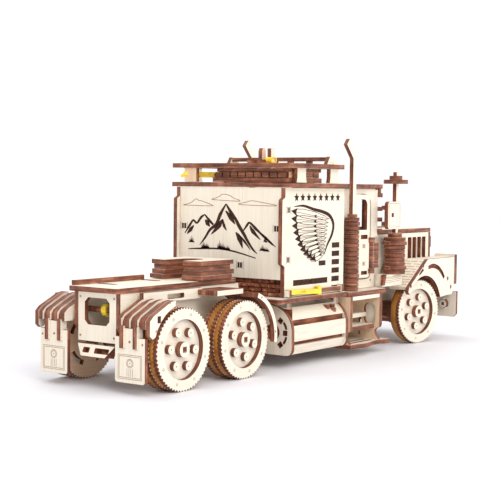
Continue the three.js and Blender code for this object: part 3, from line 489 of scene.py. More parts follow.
def wheel_bands(name, plies):
    """Rubber bands stretched over the smaller plies."""
    bands = Piece(f"{name}_bands")
    r0, r1 = WHEEL_R - 5, WHEEL_R - 0.5
    for i in range(1, plies, 2):
        y1, y0 = -i * PLY + 0.3, -(i + 1) * PLY - (1.1 if plies > 3 else PLY - 1)
        bands.lathe([(r0, y0), (r1 - 0.6, y0), (r1, y0 + 0.6), (r1 + 0.1, (y0 + y1) / 2), (r1, y1 - 0.6),
                     (r1 - 0.6, y1), (r0, y1)], 64, AMBER)
    return bands


def wheel(name, body, matrix, plies, phase):
    wheel_plies(name, plies, phase).finish("warm_plywood", body, matrix)
    wheel_bands(name, plies).finish("amber_rubber", body, matrix, bevel=0)


def move(x, y, z):
    return Matrix.Translation(Vector((x, y, z)) * MM)


for side, word in SIDES:
    facing = Matrix.Rotation(0 if side > 0 else math.pi, 4, "Z")  # a right-hand wheel is turned round
    for axle in ("rear", "mid"):
        name = f"{axle}_wheel_{word}"
        place = move(middle(name).x, high("mid_axle").y * side, WHEEL_R)
        wheel(name, f"{axle}_axle", place @ facing, 5, WHEEL_PHASES[axle])
    turned = (move(FRONT.x, side * KINGPIN_Y, WHEEL_R) @ Matrix.Rotation(STEER_REST, 4, "Z")
              @ move(0, side * STUB_REACH, 0) @ facing)
    wheel(f"front_wheel_{word}", f"{word}_front_wheel", turned, 3, WHEEL_PHASES["front"])


# ---- CAD pieces that stay as they are
def both(*stems):
    return [f"{stem}_{word}" for stem in stems for _, word in SIDES]


PALE_NODES = {
    0: ["rear_panel", "sleeper_rear_panel", "windshield_frame", "grille", "bumper"],
    1: both("frame_rail", "sleeper_side", "cab_side", "rear_fender", "mid_fender"),
    2: ["rear_deck", "platform_board", "cab_board", "sleeper_roof", "cab_roof", "hood_lid", "tie_rod"],
}
TAN_NODES = {
    1: ["rear_axle", "mid_axle", "motor_drum", "band_peg", "release_lever"],
    2: ["front_beam", "engine_block", *both("knuckle")],
}
for looks, groups in ((BIRCH, PALE_NODES), (TAN, TAN_NODES)):
    for axis, nodes in groups.items():
        for node in nodes:
            dress(node, looks[axis])
for node in both("cowl_box"):
    dress(node, BARE)
dress("motor_band", YELLOW, bevel=0)


# ---- rear end
def mudflap(word, side):
    """Flap hung by two straps, engraved with a framed ring over four lines."""
    part, (x0, x1, y0, y1, z0, z1) = rebuilt(f"mudflap_{word}", side)
    face = x0 + 0.6
    notch, shoulder, corner = z0 + 22.6, z0 + 30, 1.2
    straps = (y0 + 5, y0 + 8.6), (y0 + 16.6, y0 + 20.2)
    (a0, a1), (b0, b1) = straps
    outline = [(y0 + corner, z0), (y1 - corner, z0), (y1, z0 + corner), (y1, shoulder), (b1, shoulder),
               (b1, notch), (b0, notch), (b0, z1), (a1, z1), (a1, notch), (a0, notch), (a0, shoulder),
               (y0, shoulder), (y0, z0 + corner)]
    part.sheet("YZ", outline, face, x1)
    for a, b in straps:
        part.block(x0 - 1.0, x1 + 1.4, a + 0.02, b - 0.02, notch + SINK, z1 + 1.6)
    marks = Marks(part, "YZ", face, -1)
    for step in (2.6, 3.6):
        border = (y0 + step, y1 - step, z0 + step - 0.1, z0 + 21.2 - step)
        marks.loop(rect(*border), rect(*inset(border, 0.3)))
    centre, emblem = (y0 + y1) / 2, z0 + 13
    marks.eyes([(centre, emblem)], 3.0)
    marks.loop(disc(centre, emblem, 2.2, 20), disc(centre, emblem, 1.9, 20))
    lines = [centre + k for k in (-2.4, -0.8, 0.8, 2.4)]
    marks.fill([rect(y - 0.13, y + 0.13, z0 + 4.3, z0 + 9.6) for y in lines], FINE_INK)
    marks.fill([disc((a1 + b0) / 2, z0 + 27, 0.9, 12)], FINE_INK)
    marks.eyes([(y1 - 2.2, z0 + 26)], 0.8)
    part.finish()


def rear_marks():
    """Marks on the rear panel and the strip along the deck."""
    part = Piece("rear_marks")
    x0, _, _, _, z0, z1 = span("rear_panel")
    marks = Marks(part, "YZ", x0, -1)
    marks.eyes([(y, z) for y in (-15.4, 15.4) for z in (z0 + 3.5, z1 - 3.5)], 0.8)
    marks.fill([stroke([(17.6, z0 + 1), (17.6, z1 - 1)], 0.25)], FINE_INK)
    x0, _, _, y1, _, z1 = span("rear_deck")
    part.block(x0 + 3.5, x0 + 74, y1 - 3.6, y1 - 0.1, z1, z1 + PLY, TAN, "XY")
    part.finish("warm_plywood")


def rear_tray():
    """Slotted board leaning under the rear panel."""
    part = Piece("rear_tray")
    x0, _, _, half, z0, _ = span("rear_panel")
    half -= 0.3
    board = [(-half, 0), (half, 0), (half - 6, -8.4), (6 - half, -8.4)]
    part.sheet("YZ", board, -PLY, 0, [soft(*ends, -6, -2.2, 0.8, 3) for ends in ((4.5, 10.5), (-13, 0))])
    # painted shade: a burnt-coloured strip behind the board darkens its slots
    part.sheet("YZ", rect(2 - half, half - 2, -7, -1), 0.2, 1.2, look=BURNT_EDGE_AND_SHADE)
    lean = Matrix.Rotation(math.radians(24), 4, "Y")
    part.finish(matrix=move(x0 + 2.4, 0, z0 - 3.4) @ lean)


def fender_marks(word, side):
    """Marks on the fender cheeks and on the frame rail."""
    part = Piece(f"fender_marks_{word}", side)
    x0, _, _, y1, _, z1 = span(f"rear_fender_{word}")
    marks = Marks(part, "XZ", y1)
    marks.fill([rect(x0 + 7.4, x0 + 10.6, z1 - 17, z1 - 12.4)])
    marks.eyes(at(x0, z1, (19.5, -4.6), (6.4, -22)), 1.0)
    x0, x1, _, y1, z0, z1 = span(f"mid_fender_{word}")
    Marks(part, "XZ", y1).eyes([(x0 + 5, z1 - 3.5), (x1 - 2.4, z0 + 8)], 0.8)
    x0, _, _, y1, _, z1 = span(f"frame_rail_{word}")
    Marks(part, "XZ", y1).eyes(at(x0, z1, (62, -3), (38, -3), (100, -6)), 0.9)
    part.finish()


def fifth_wheel():
    """Horseshoe coupling plate: four plies with different outlines, open to the rear."""
    part, (x0, x1, _, half, z0, z1) = rebuilt("fifth_wheel")
    throat, throat_end = 8.5, x0 + 22
    plies = ((0, 6), (1.2, 2), (2.2, 6), (1.0, 3))  # how far each ply is set in, and its front corners
    height = (z1 - z0) / len(plies)
    for i, (step, corner) in enumerate(plies):
        wide = half - step
        shape = [(x0 + step, throat), (x0 + 3 + step, wide), (x1 - corner, wide), (x1, wide - corner),
                 (x1, corner - wide), (x1 - corner, -wide), (x0 + 3 + step, -wide), (x0 + step, -throat),
                 *arc(throat_end, 0, throat, -90, 90, 10)]
        part.sheet("XY", shape, z0 + i * height + 0.1, z0 + (i + 1) * height - 0.1)
    part.sheet("XY", rect(x0 + 33, x1 - 3, 4 - half, half - 4), z0 + SINK, z1 - 0.15)
    part.finish("burnt_plywood")


# ---- sleeper
MOUNTAINS = [  # pen strokes on the rear wall, as (y, z) points and the pen's widths
    ([(3, 123), (8.6, 114.6), (12.2, 107.2), (18.4, 102.8), (23.2, 96.4), (28.5, 90.6)],
     [0.5, 1.7, 1.5, 1.2, 1.0, 0.2]),
    ([(3, 123), (-1.6, 116.8), (-6.4, 111.4), (-9.6, 106.4), (-14.4, 100.2), (-18.6, 94.2), (-23, 89),
      (-27, 86)], [0.5, 1.6, 1.4, 1.7, 1.5, 1.2, 0.9, 0.2]),
    ([(3.2, 117.6), (-1.8, 112.4), (-6, 107.6)], [0.6, 2.2, 0.3]),
    ([(6.2, 111.2), (9.2, 106.8), (13, 103), (17.2, 99.2)], [0.4, 2.4, 1.6, 0.2]),
    ([(6.2, 111.2), (4.8, 106.4), (2.2, 102.6)], [0.5, 1.5, 0.2]),
    ([(-6.6, 101.6), (-10.2, 97), (-13.2, 89.6)], [0.4, 2.6, 0.3]),
    ([(-8.6, 100.6), (-14.8, 95), (-20.6, 88.6)], [0.3, 1.1, 0.2]),
    ([(43.5, 99.4), (38.8, 105.4), (35, 109.8), (31.4, 107.6), (27.2, 112.2), (23.6, 114.4)],
     [0.3, 1.2, 0.9, 0.9, 1.2, 0.5]),
    ([(23.6, 114.4), (19.4, 110.2), (15.2, 106.8)], [0.5, 1.3, 0.9]),
    ([(34.4, 105.8), (37.6, 102.4), (41.4, 98.8)], [0.3, 1.9, 0.2]),
    ([(23.2, 110.4), (21, 108), (18.6, 105.2)], [0.4, 2.4, 0.3]),
    ([(-13.6, 102.8), (-17, 107), (-19.6, 109.2), (-24.6, 105.4), (-29.6, 101.6), (-35, 97.8), (-44, 91.6)],
     [0.4, 1.1, 0.9, 1.3, 0.9, 1.2, 0.2]),
    ([(-19.8, 107), (-22.6, 102.8), (-29.8, 96.6)], [0.4, 1.9, 0.2]),
    ([(-30.4, 100.8), (-36.4, 96.4), (-41, 92.8)], [0.2, 0.8, 0.2]),
    ([(-33, 96.4), (-36, 95)], [1.4, 0.4]),
    ([(40, 87.2), (26, 88), (10, 88.4), (-6, 86.8), (-25.6, 82.6)], [0.3, 0.8, 0.7, 0.7, 0.4]),
]
BOLDER = 1.8  # the strokes are engraved this much wider
CLOUDS = [
    [(45, 121.6), (38, 123.2), (32.5, 126.4), (29.5, 125.2), (26.5, 124.8), (17.5, 122.2), (17.2, 121.2),
     (42, 121.4)],
    [(17, 126.4), (10.5, 128.2), (6.2, 130.4), (0, 129.6), (-4.2, 127.6), (-9.4, 126), (-8.2, 125.2),
     (14, 126)],
    [(-9.2, 123.4), (-16, 124.6), (-21.5, 125.8), (-31, 124.6), (-43.6, 122.8), (-40, 122.2),
     (-12, 122.6)],
]
TUFTS = [(36.6, 92.6, 4.6), (24.4, 88.4, 5), (21.4, 88.6, 3.8), (8.8, 88.6, 5.6), (5.4, 88.4, 4.2),
         (1.2, 87.9, 3.4), (-31.8, 88.6, 4.2), (-35.2, 88.2, 3)]
BLADES = ((-1.9, 0.6), (-0.9, 0.85), (0.1, 1.1), (1.0, 0.75), (1.9, 0.55))  # lean and height of each


def grass(a, b, height):
    """Tuft of five pointed blades on a small mound."""
    shapes = []
    for lean, share in BLADES:
        foot = a + lean * 0.7
        shapes.append([(foot - 0.55, b), (foot + 0.55, b), (a + lean * 1.15, b + height * share)])
    return [*shapes, [(a - 3.2, b - 0.2), (a + 3.2, b - 0.2), (a + 1.6, b + 1.3), (a - 1.6, b + 1.3)]]


def rear_wall_art():
    """Mountains, clouds and grass on the rear wall, and the tenons of the boards behind it."""
    part = Piece("rear_wall_art")
    x0 = low("sleeper_rear_panel").x
    marks = Marks(part, "YZ", x0, -1)
    for points, widths in MOUNTAINS:
        marks.fill([stroke(smooth(points, 3), [BOLDER * width for width in spread(widths, 3)])])
    marks.fill([stroke(smooth(cloud + cloud[:1], 3), 0.42) for cloud in CLOUDS], FINE_INK)
    for tuft in TUFTS:
        marks.fill(grass(*tuft))
    for a, b in ((44.3, 105.3), (-44.3, 105.3), (-10.7, 76.8), (10.7, 76.8)):
        part.sheet("YZ", rect(a - 3.5, a + 3.5, b - 2.5, b + 2.5), x0 - 0.03, x0 + PLY, look=BARE)
        marks.tenon(a, b, 4.2, 4.2, 1.0)
    part.finish("burnt_plywood", bevel=0)


def feather(root, tip, width):
    """Leaf-shaped outline from root to tip."""
    along = tip - root
    across = Vector((-along.y, along.x)).normalized() * width / 2
    swell = ((0.12, 0.5), (0.4, 0.95), (0.7, 1.0), (0.9, 0.6))
    left = [root + along * t + across * w for t, w in swell]
    right = [root + along * t - across * w for t, w in reversed(swell)]
    return [tuple(p) for p in [root, *left, tip, *right]]


def kite(tip, along, across, length, left, right, waist):
    """Pointed dark end whose back is notched in by waist."""
    back = tip - along * length
    return [tuple(p) for p in (tip, back + across * left, back + along * waist, back - across * right)]


def wing_shapes():
    """Raised wing: dark feather ends, thin feather lines and a strong leading edge."""
    dark, lines = [], []
    x0 = SLEEPER_X[0]
    feathers = 10
    for k in range(feathers):
        t = k / (feathers - 1)
        turn, reach = math.radians(166 + 66 * t), 54 - 12 * t
        root = Vector((x0 + 64 - 6 * t, 112 - 26 * t))
        tip = Vector((x0 + 64 + reach * math.cos(turn), 108 + reach * 0.82 * math.sin(turn)))
        shape = feather(root, tip, 6.4)
        lines += [(shape[1:] + shape[:2], 0.42), ([tuple(root), tuple(tip)], 0.3)]
        along = (tip - root).normalized()
        across = Vector((-along.y, along.x))
        dark.append(kite(tip, along, across, 8, 3.2, 3.0, 1.4))
        dark.append(kite(root + (tip - root) * 0.42, along, across, 5, 1.5, 1.5, 1.4))
    edge = smooth(at(x0, 0, (15, 121.8), (28, 122.4), (42, 119.6), (55, 117.6), (65, 114.4), (70.4, 108),
                     (68.6, 100), (62, 92), (57.6, 84.4)), 3)
    lines.append((edge, spread([0.4, 1.8, 2.4, 2.6, 3.0, 3.2, 2.8, 2.0, 0.5], 3)))
    return dark, [stroke(*line) for line in lines]


def side_wall_art(word, side):
    """Stars, wing, bars and tenons on a side wall of the sleeper."""
    part = Piece(f"side_art_{word}", side)
    y1 = span(f"sleeper_side_{word}")[3]
    marks = Marks(part, "XZ", y1)
    x0, x1 = SLEEPER_X
    marks.fill([star(x1 - 9.6 - 8.3 * k, 128.6, 3.4) for k in range(8)])
    for shapes in wing_shapes():
        marks.fill(shapes)
    column = (x1 - 17.4, x1 - 6.6)
    marks.fill([rect(*column, z - 0.4, z + 3.7) for z in (63.3, 69.9, 76.5, 83.1, 89.7)])
    marks.fill([rect(x1 - 36, x1 - 26.5, 76.1, 79.9), rect(*column, 57.2, 59.8),
                rect(x0 + 15.3, x0 + 38, 62.4, 66.7), rect(x0 + 38.8, x1 - 23.5, 62.4, 66.7)])
    for z in (119.3, 82.3):
        part.sheet("XZ", rect(x0 + 6.5, x0 + 9.9, z - 2.4, z + 2.4), y1 - PLY, y1 + 0.03, look=BARE)
        marks.tenon(x0 + 8.2, z, 2.8, 4, 1.0)
    part.finish("burnt_plywood", bevel=0)


def sleeper_foot():
    """Stacked burnt strips under the sleeper, broken like brickwork."""
    part = Piece("sleeper_foot_plies", node="sleeper_base")
    x0, x1, _, y1, z0, z1 = span("sleeper_base")
    courses, brick, joint, depth = 4, 12.4, 0.9, 2.6
    height = (z1 - z0) / courses
    for i in range(courses):
        odd = i % 2
        proud, shift = 0.9 * odd, brick / 2 * odd
        bottom, top = z0 + i * height, z0 + (i + 1) * height
        part.sheet("XY", rect(x0 + 2.5, x1, 2.5 - y1, y1 - 2.5), bottom, top, look=BURNT_EDGE_AND_SHADE)
        a = shift - y1
        while a < y1 - 0.5:
            b = min(a + brick - joint, y1)
            if b - a > 1:
                part.block(x0 + proud, x0 + depth, a, b, bottom + SLIT, top - SLIT, BURNT_EDGE_AND_SHADE)
            a += brick
        for s in (-1, 1):
            ends = sorted((s * (y1 - depth), s * (y1 - proud)))
            c = x0 + 3.2 + shift
            while c < x1 - 2:
                part.block(c, min(c + brick - joint, x1 - SLIT), *ends, bottom + SLIT, top - SLIT, BURNT_EDGE_AND_SHADE)
                c += brick
    part.finish("burnt_plywood", bevel=0.1)


def belt(first, second, radius, thickness):
    """Outline and hole of a loop stretched round two pins."""
    way = math.degrees(math.atan2(second[1] - first[1], second[0] - first[0]))
    return [arc(*first, r, way + 90, way + 270, 8) + arc(*second, r, way - 90, way + 90, 8)
            for r in (radius + thickness, radius)]


def side_bands(word, side):
    """Hook bar at the foot of the sleeper with its spare rubber band."""
    x0, x1, _, y1, z0, _ = span(f"sleeper_side_{word}")
    bar = Piece(f"hook_bar_{word}", side)
    bar.block(x0 + 5, x1 - 5, y1 + 0.1, y1 + 3.4, z0 + 1.6, z0 + 4.6, TAN, "XY")
    for x in (x0 + 4, x1 - 9):
        bar.block(x, x + 3, y1 + 0.1, y1 + 4.6, z0 + 0.4, z0 + 5.8, plane="YZ")
    bar.finish("warm_plywood")
    band = Piece(f"side_band_{word}", side)
    band.sheet("XZ", at(x0, z0, (4.6, 6), (46, 4.6), (46, 0.9), (4.6, 2.4)),
               y1 + 1.2, y1 + 4.4, [rect(x0 + 20, x0 + 26, z0 + 3.2, z0 + 3.7)], YELLOW)
    band.sheet("YZ", soft(y1 + 0.6, y1 + 4.9, z0 - 0.2, z0 + 6.8, 1.2, 3), x0 + 43.6, x0 + 47.2,
               [soft(y1 + 0.9, y1 + 4.1, z0 + 0.9, z0 + 5.6, 0.8, 3)], YELLOW)
    band.finish("yellow_rubber", bevel=0.35)


# ---- roof
RACK_BOARD_TOP = 14.4  # above the sleeper's roof


def latch_box(part, x0, z0, slot):
    """Tan box under the rack, with a row of short blocks along two of its sides."""
    for y in (-47, -30, -18, 4, 16):
        part.sheet("XZ", rect(x0 + 12, x0 + 54, z0 + PLY, z0 + RACK_BOARD_TOP - PLY), y, y + PLY, look=TAN)
    part.sheet("XY", rect(x0 + 8, x0 + 56, -48, 22), z0, z0 + PLY, [slot], TAN)
    part.sheet("XY", rect(x0 + 9.6, x0 + 56, -47.4, 19), z0 + 8, z0 + 10.6, [slot], TAN)
    for k in range(9):
        y = -45.5 + k * 7.4
        part.block(x0 + 8.8, x0 + 12, y, y + 6.3, z0 + 3.8, z0 + 7.8, TAN, "XY")
    for k in range(4):
        x = x0 + 16 + k * 9.4
        part.block(x, x + 7.2, -48.2, -45.6, z0 + 4, z0 + 7.6, TAN, "XY")


def roof_rack():
    """Board on four feet over the latch box, with the lever's guides and the fixed post."""
    part, (x0, x1, _, half, z0, z1) = rebuilt("roof_rack")
    top = z0 + RACK_BOARD_TOP
    under = top - PLY
    lever_x = middle("release_lever").x
    slot = rect(lever_x - 8, lever_x + 8, -9.8, -3.2)
    wells = [soft(x0 + a, x0 + b, *sorted((14 * s, 46 * s)), 3)
             for a, b in ((10, 36), (42, 64)) for s in (1, -1)]
    part.sheet("XY", soft(x0, x1, -half, half, 2), under, top, [*wells, slot])
    for s in (1, -1):
        y0, y1 = sorted((s * 48.5, s * 52))
        for x in (x0 + 15, x1 - 15):
            foot = at(x, z0, (0, 0), (14, 0), (13, 4)) + at(x, under, (13, 0), (1, 0)) + [(x + 1, z0 + 4)]
            part.sheet("XZ", foot, y0, y1)
            part.sheet("XZ", rect(x + 4.5, x + 9.5, under - 0.2, top + 0.25), y0 + 0.1, y1 - 0.1)
    part.block(x0 + 1.5, x0 + 5, 33, 45, z0, under, TAN)
    latch_box(part, x0, z0, slot)
    arm = at(x0, 0, (10.5, 22), (16, 26), (22, 33.5), (25.5, 32), (20, 24), (18, 21.6))
    part.sheet("XY", arm, z0 + 3.6, z0 + 7)
    part.block(lever_x - 2.5, lever_x + 2.5, -16.9, -13.4, under, z1)
    for ends in ((-12.9, -9.9), (-3.1, -0.4)):
        part.sheet("XY", soft(lever_x - 12, lever_x + 14, *ends, 1, 3), top, top + 3.2, look=TAN)
    part.finish("warm_plywood")


def roof_bands():
    """Two bands from the latch arm to the rack's edge, and one round the fixed post."""
    x0, z0 = low("roof_rack").x, low("roof_rack").z
    x, z = middle("release_lever").x, z0 + RACK_BOARD_TOP
    band = Piece("roof_bands")
    for drop, reach in ((0, 46.4), (1.7, 44)):
        loop, hole = belt((x0 + 3.2, reach), (x0 + 17, 25.2), 1.6, 1.2)
        band.sheet("XY", loop, z0 + 3.4 + drop, z0 + 6 + drop, [hole], YELLOW)
    band.sheet("XZ", soft(x - 3.7, x + 3.9, z + 0.6, z + 5.4, 1.8, 5), -17.9, -12.4,
               [soft(x - 2.6, x + 2.8, z + 1.7, z + 4.3, 1.0, 5)], YELLOW)
    band.finish("yellow_rubber", bevel=0.35)


def roof_spoiler():
    part, (x0, x1, _, y1, z0, z1) = rebuilt("roof_spoiler")
    cheek = [(x0, z0), (x1, z0), (x1 - 2.2, z0 + 4.4), (x1 - 4, z1), (x0 + 4, z1), (x0 + 1, z0 + 1.6)]
    for s in (1, -1):
        part.sheet("XZ", cheek, *sorted((s * (y1 - PLY), s * y1)))
    part.block(x0 + 3.6, x1 - 2.6, 0.4 - y1, y1 - 0.4, z0 + 2.5, z0 + 5.6, plane="XY")
    for y in (-28, -10, 10, 28):
        part.block(x0 + 5, x1 - 4, y - 1.7, y + 1.7, z0, z0 + 2.5)
    part.finish()


# ---- boxes under the boards
def plank(part, corners, x0, x1):
    """Strip along X whose cross-section has pale broad sides and burnt narrow ones."""
    part.sheet("YZ", corners, x0, x1, look=BARE)
    part.bm.faces.ensure_lookup_table()
    for face in part.bm.faces[-4:]:
        if min(edge.calc_length() for edge in face.edges) < PLY + 0.3:
            face.material_index = MATERIALS.index(BURNT_EDGE_AND_SHADE)


def turned_square(a, b, half, degrees):
    return [polar(half * math.sqrt(2), degrees + corner, a, b) for corner in (225, 315, 45, 135)]


def tank_end(part, x0, x1, y0, y1, z0, z1):
    """Two end plates, the rear one with its round window, square ports and slots."""
    curve = arc(y1 - 19, z0 + 18, 19, 0, 84, 12)
    end = [(y0, z0), (y1 - 6, z0), *arc(y1 - 5, z0 + 5, 5, -90, 0, 4)[1:], *curve, (y0 + 8, z1), (y0, z1)]
    eye = (y1 - 17.5, z0 + 17)
    holes = [disc(*eye, 6.2, 28)]
    holes += [turned_square(*polar(11.4, angle, *eye), 1.9, angle) for angle in (52, 0, -52)]
    holes += [arc(*eye, 13.6, a, a + 26, 5) + arc(*eye, 11.8, a + 26, a, 5) for a in (13, -39)]
    part.sheet("YZ", end, x0, x0 + PLY, holes)
    part.sheet("YZ", end, x1 - PLY, x1)


TANK_PLANKS = (  # corners from the tank's outer foot
    ((-4, 10.5), (-0.5, 10.5), (-0.5, 22.5), (-4, 22.5)),
    ((-2.9, 26.5), (-11.5, 35), (-14, 32.4), (-5.6, 24.6)),
    ((-5, 0.5), (-5, 4), (-14, 4), (-14, 0.5)),
)


def fuel_tank(word, side):
    """Slatted tank between two plates, with burnt strips behind the gaps and a filler cap."""
    part, (x0, x1, y0, y1, z0, z1) = rebuilt(f"fuel_tank_{word}", side)
    tank_end(part, x0, x1, y0, y1, z0, z1)
    a, b = x0 + PLY - 0.1, x1 - PLY + 0.1
    for corners in TANK_PLANKS:
        plank(part, at(y1, z0, *corners), a, b)
    part.block(a, b, y1 - 7.4, y1 - 3.4, z0 + 22.4, z0 + 26.6, BURNT_EDGE_AND_SHADE, "XZ")
    part.block(a, b, y1 - 7, y1 - 3.6, z0 + 7, z0 + 10.6, BURNT_EDGE_AND_SHADE, "XZ")
    part.sheet("YZ", at(y1, z0, (-1.4, 7.4), (-4.9, 7.8), (-7.6, 0.8), (-4.2, 0.4)), a, b, look=BARE)
    # painted shade: a burnt-coloured sheet just inside the rear end plate darkens its window, ports and
    # slots
    part.block(x0 + PLY, x0 + PLY + 0.8, y1 - 32, y1 - 2.6, z0 + 2, z1 - 5, BURNT_EDGE_AND_SHADE, "XZ")
    plank(part, [(y0, z0 + 4), (y0 + PLY, z0 + 4), (y0 + PLY, z1 - 3), (y0, z1 - 3)], a, b)
    cap_x, cap_y = x1 - 13, y1 - 7.4
    part.puck(cap_x, cap_y, 3.3, 20, z0 + 28, z0 + 31.2)
    part.puck(cap_x, cap_y, 2.2, 16, z0 + 31.2, z0 + 34)
    part.puck(cap_x - 6, cap_y - 1.6, 2.8, 16, z0 + 30.4, z0 + 34)
    for peg in (x0 + 2, x1 - 12.4):
        for x in (peg, peg + 2):
            part.block(x, x + 0.9, y1 - 6.5, y1 - 3.5, z1 - 5, z1 + 0.2)
    part.finish()


def step_box(word, side):
    """Boarding step: two waisted side plates, treads between them and a wavy foot board."""
    part, (_, _, y0, y1, z0, z1) = rebuilt(f"step_box_{word}", side)
    y1 -= 2
    x0 = low("cab_board").x + 0.5
    x1 = x0 + 46.3
    waist = smooth(at(y1, z0, (1.6, 0), (-0.6, 3.2), (-3.8, 7.4), (-4.6, 10.6), (-3, 12.6), (0, 14)), 3)
    side_plate = [(y0, z0), *waist, (y1, z1), (y0, z1)]
    slots = [rect(y0 + 13, y0 + 15.6, WHEEL_R - 4.5, WHEEL_R + 1.5),
             rect(y0 + 13, y0 + 15.2, z0 + 6.4, z0 + 9.4)]
    part.sheet("YZ", side_plate, x0, x0 + PLY, slots, TAN)
    port = soft(y1 - 15, y1 - 4, z0 + 15.4, z1 - 8.4, 5, 6)
    part.sheet("YZ", side_plate, x1, x1 + PLY, [*slots, port], TAN)
    part.sheet("YZ", soft(y1 - 17, y1 - 1.4, z0 + 13, z1 - 5, 3), x1 + PLY + 0.1, x1 + 2 * PLY)
    a, b = x0 + PLY - 0.1, x1 + 0.1
    shelf, tread = WHEEL_R + 1.4, WHEEL_R - 7.6
    part.block(a, b, y1 - 25, y1 - 13, shelf, shelf + PLY, BARE)
    part.block(a, b, y1 - 25, y1 - 5, tread, tread + PLY, plane="XY")
    part.block(a, b, y0, y0 + PLY, WHEEL_R - 10, z1, plane="XZ")
    part.block(a, b, y1 - 3.4, y1 - 0.2, z1 - 3.2, z1, plane="XZ")
    board = smooth(at(x0, y1, (-1, 1), (8, 2), (18, 3.6), (24, 3.4), (33, 1.2))
                   + at(x1, y1, (-3, 0.4), (6, 3), (11, 3.6)), 4)
    board = board[::-1] + [(x0 - 1, y0), (x1 + 8, y0), (x1 + 13, y1 - 8)]
    cuts = [soft(x0 + 6, x1 - 4, y, y + 3.5, 1.2, 3) for y in (y1 - 7, y1 - 13.5)]
    part.sheet("XY", board, z0, z0 + PLY, cuts)
    part.finish("warm_plywood")


# ---- cab and hood
def exhaust(word, side):
    """Muffler of stacked discs with two brackets, a collar and a bent pipe."""
    part, (_, x1, _, _, z0, tip) = rebuilt(f"exhaust_{word}", side)
    x, y = x1 - 6.1, abs(middle(f"exhaust_{word}").y)
    bracket_end = low(f"door_{word}").x - 0.8
    plies, brackets = 17, (3, 15)
    for index in range(plies):
        z = z0 + index * PLY
        wide = index in brackets
        part.puck(x, y, 6.3 if wide else 5.8, 28, z + SLIT, z + PLY - SLIT)
        part.puck(x, y, 4.9, 20, z - SLIT, z + SLIT)
        if wide:
            arm = soft(x, bracket_end, y - 6.4, y - 3.0, 1.2, 3)
            part.sheet("XY", arm, z + SLIT, z + PLY - SLIT, look=TAN)
    z = z0 + plies * PLY
    part.puck(x, y, 4, 24, z, z + 2.4)
    bend = at(x, tip, (2.5, -13), (-5.5, -3.5), (-4, -1), (-8.5, 0), (-12.5, -4.5), (-2.5, -15.5))
    pipe = at(x, z0 + 57, (-2.5, 0), (2.5, 0)) + bend
    part.sheet("XZ", pipe, y - PLY / 2, y + PLY / 2)
    part.finish("burnt_plywood")


CLEANER_RADII = (9.3, 10.3, 9.1, 8.8, 9.1, 8.8, 9.1, 10.3, 9.3, 6)
TAB_FROM = 10  # the plies wider than this have a tab towards the cab


def mirror(part, x0, y1, z0):
    """Mirror plate with a square port and a thin border, on two brackets."""
    plate = (x0, x0 + 22, z0 + 39, z0 + 62)
    port = rect(x0 + 6.2, x0 + 9.6, z0 + 49, z0 + 52.4)
    part.sheet("XZ", soft(*plate, 3, 5), y1 - PLY, y1, [port])
    # painted shade: a burnt-coloured plug sunk in the port makes it read dark
    part.sheet("XZ", port, y1 - PLY + 0.3, y1 - 0.8, look=BURNT_EDGE_AND_SHADE)
    Marks(part, "XZ", y1).loop(soft(*inset(plate, 1.6), 2, 5), soft(*inset(plate, 1.9), 1.8, 5))
    for z in (z0 + 41.5, z0 + 55):
        part.sheet("XY", soft(x0 + 4, x0 + 12, y1 - 9, y1 - PLY, 1, 3), z, z + PLY, look=TAN)


def air_cleaner(word, side):
    """Stacked drum, its rod with a round cap, and the mirror."""
    part, (x0, x1, y0, y1, z0, z1) = rebuilt(f"air_cleaner_{word}", side)
    x, y = x1 - 10.4, y0 + 10.4
    for i, r in enumerate(CLEANER_RADII):
        z = z0 + i * PLY
        part.puck(x, y, r, 36, z + 0.25, z + PLY - 0.25)
        part.puck(x, y, min(r, 8), 28, z - 0.25, z + 0.25)
        if r > TAB_FROM:
            part.block(x - 13.5, x - 6, y - 2, y + 2, z + SLIT, z + PLY - SLIT, TAN, "XY")
    rod_foot, cap = z0 + len(CLEANER_RADII) * PLY, z1 - 10
    nut = cap + 2 * PLY - 0.2
    part.sheet("XZ", rect(x - 2, x + 2, rod_foot, cap), y - PLY / 2, y + PLY / 2)
    part.puck(x, y, 10.4, 36, cap, cap + PLY)
    part.puck(x, y, 5.5, 28, cap + PLY, nut)
    part.sheet("XZ", rect(x - 1.7, x + 1.7, nut, z1), y - PLY / 2, y + PLY / 2)
    mirror(part, x0 - 10, y1, z0)
    part.finish("burnt_plywood")


def door_barrels(part, word, z0):
    """Fixed half of the door's hinge, six plies high."""
    _, x, _, y, _, _ = span(f"door_{word}")
    x, y = x - 3, y - 3
    barrel = arc(x, y, 3.4, 90, 270, 10) + [(x + 6.5, y - 3.4), (x + 6.5, y + 3.4)]
    for k in range(6):
        z = z0 + 16.8 + k * PLY
        part.sheet("XY", barrel, z, z + PLY - HAIR, look=TAN)


def cowl_marks(part, word):
    """Lines on the cowl box and the dark link beside it."""
    x0, x1, _, y1, z0, z1 = span(f"cowl_box_{word}")
    lines = [at(x0, z1 - k, (3, 0), (14, -0.6)) + [(x1 - 2, z1 - k + 0.3)] for k in (1.6, 3.0, 4.4, 5.8)]
    Marks(part, "XZ", y1).fill([stroke(line, 0.3) for line in lines], FINE_INK)
    shape = [(x0 - 1.5, z1 + 0.6), (x0 + 4, z1 + 0.6), (x0 + 1.2, z0 + 1.4), (x0 - 2.4, z0 + 1.4)]
    part.sheet("XZ", shape, y1 + SINK, y1 + 2.2, look=BURNT_EDGE_AND_SHADE)


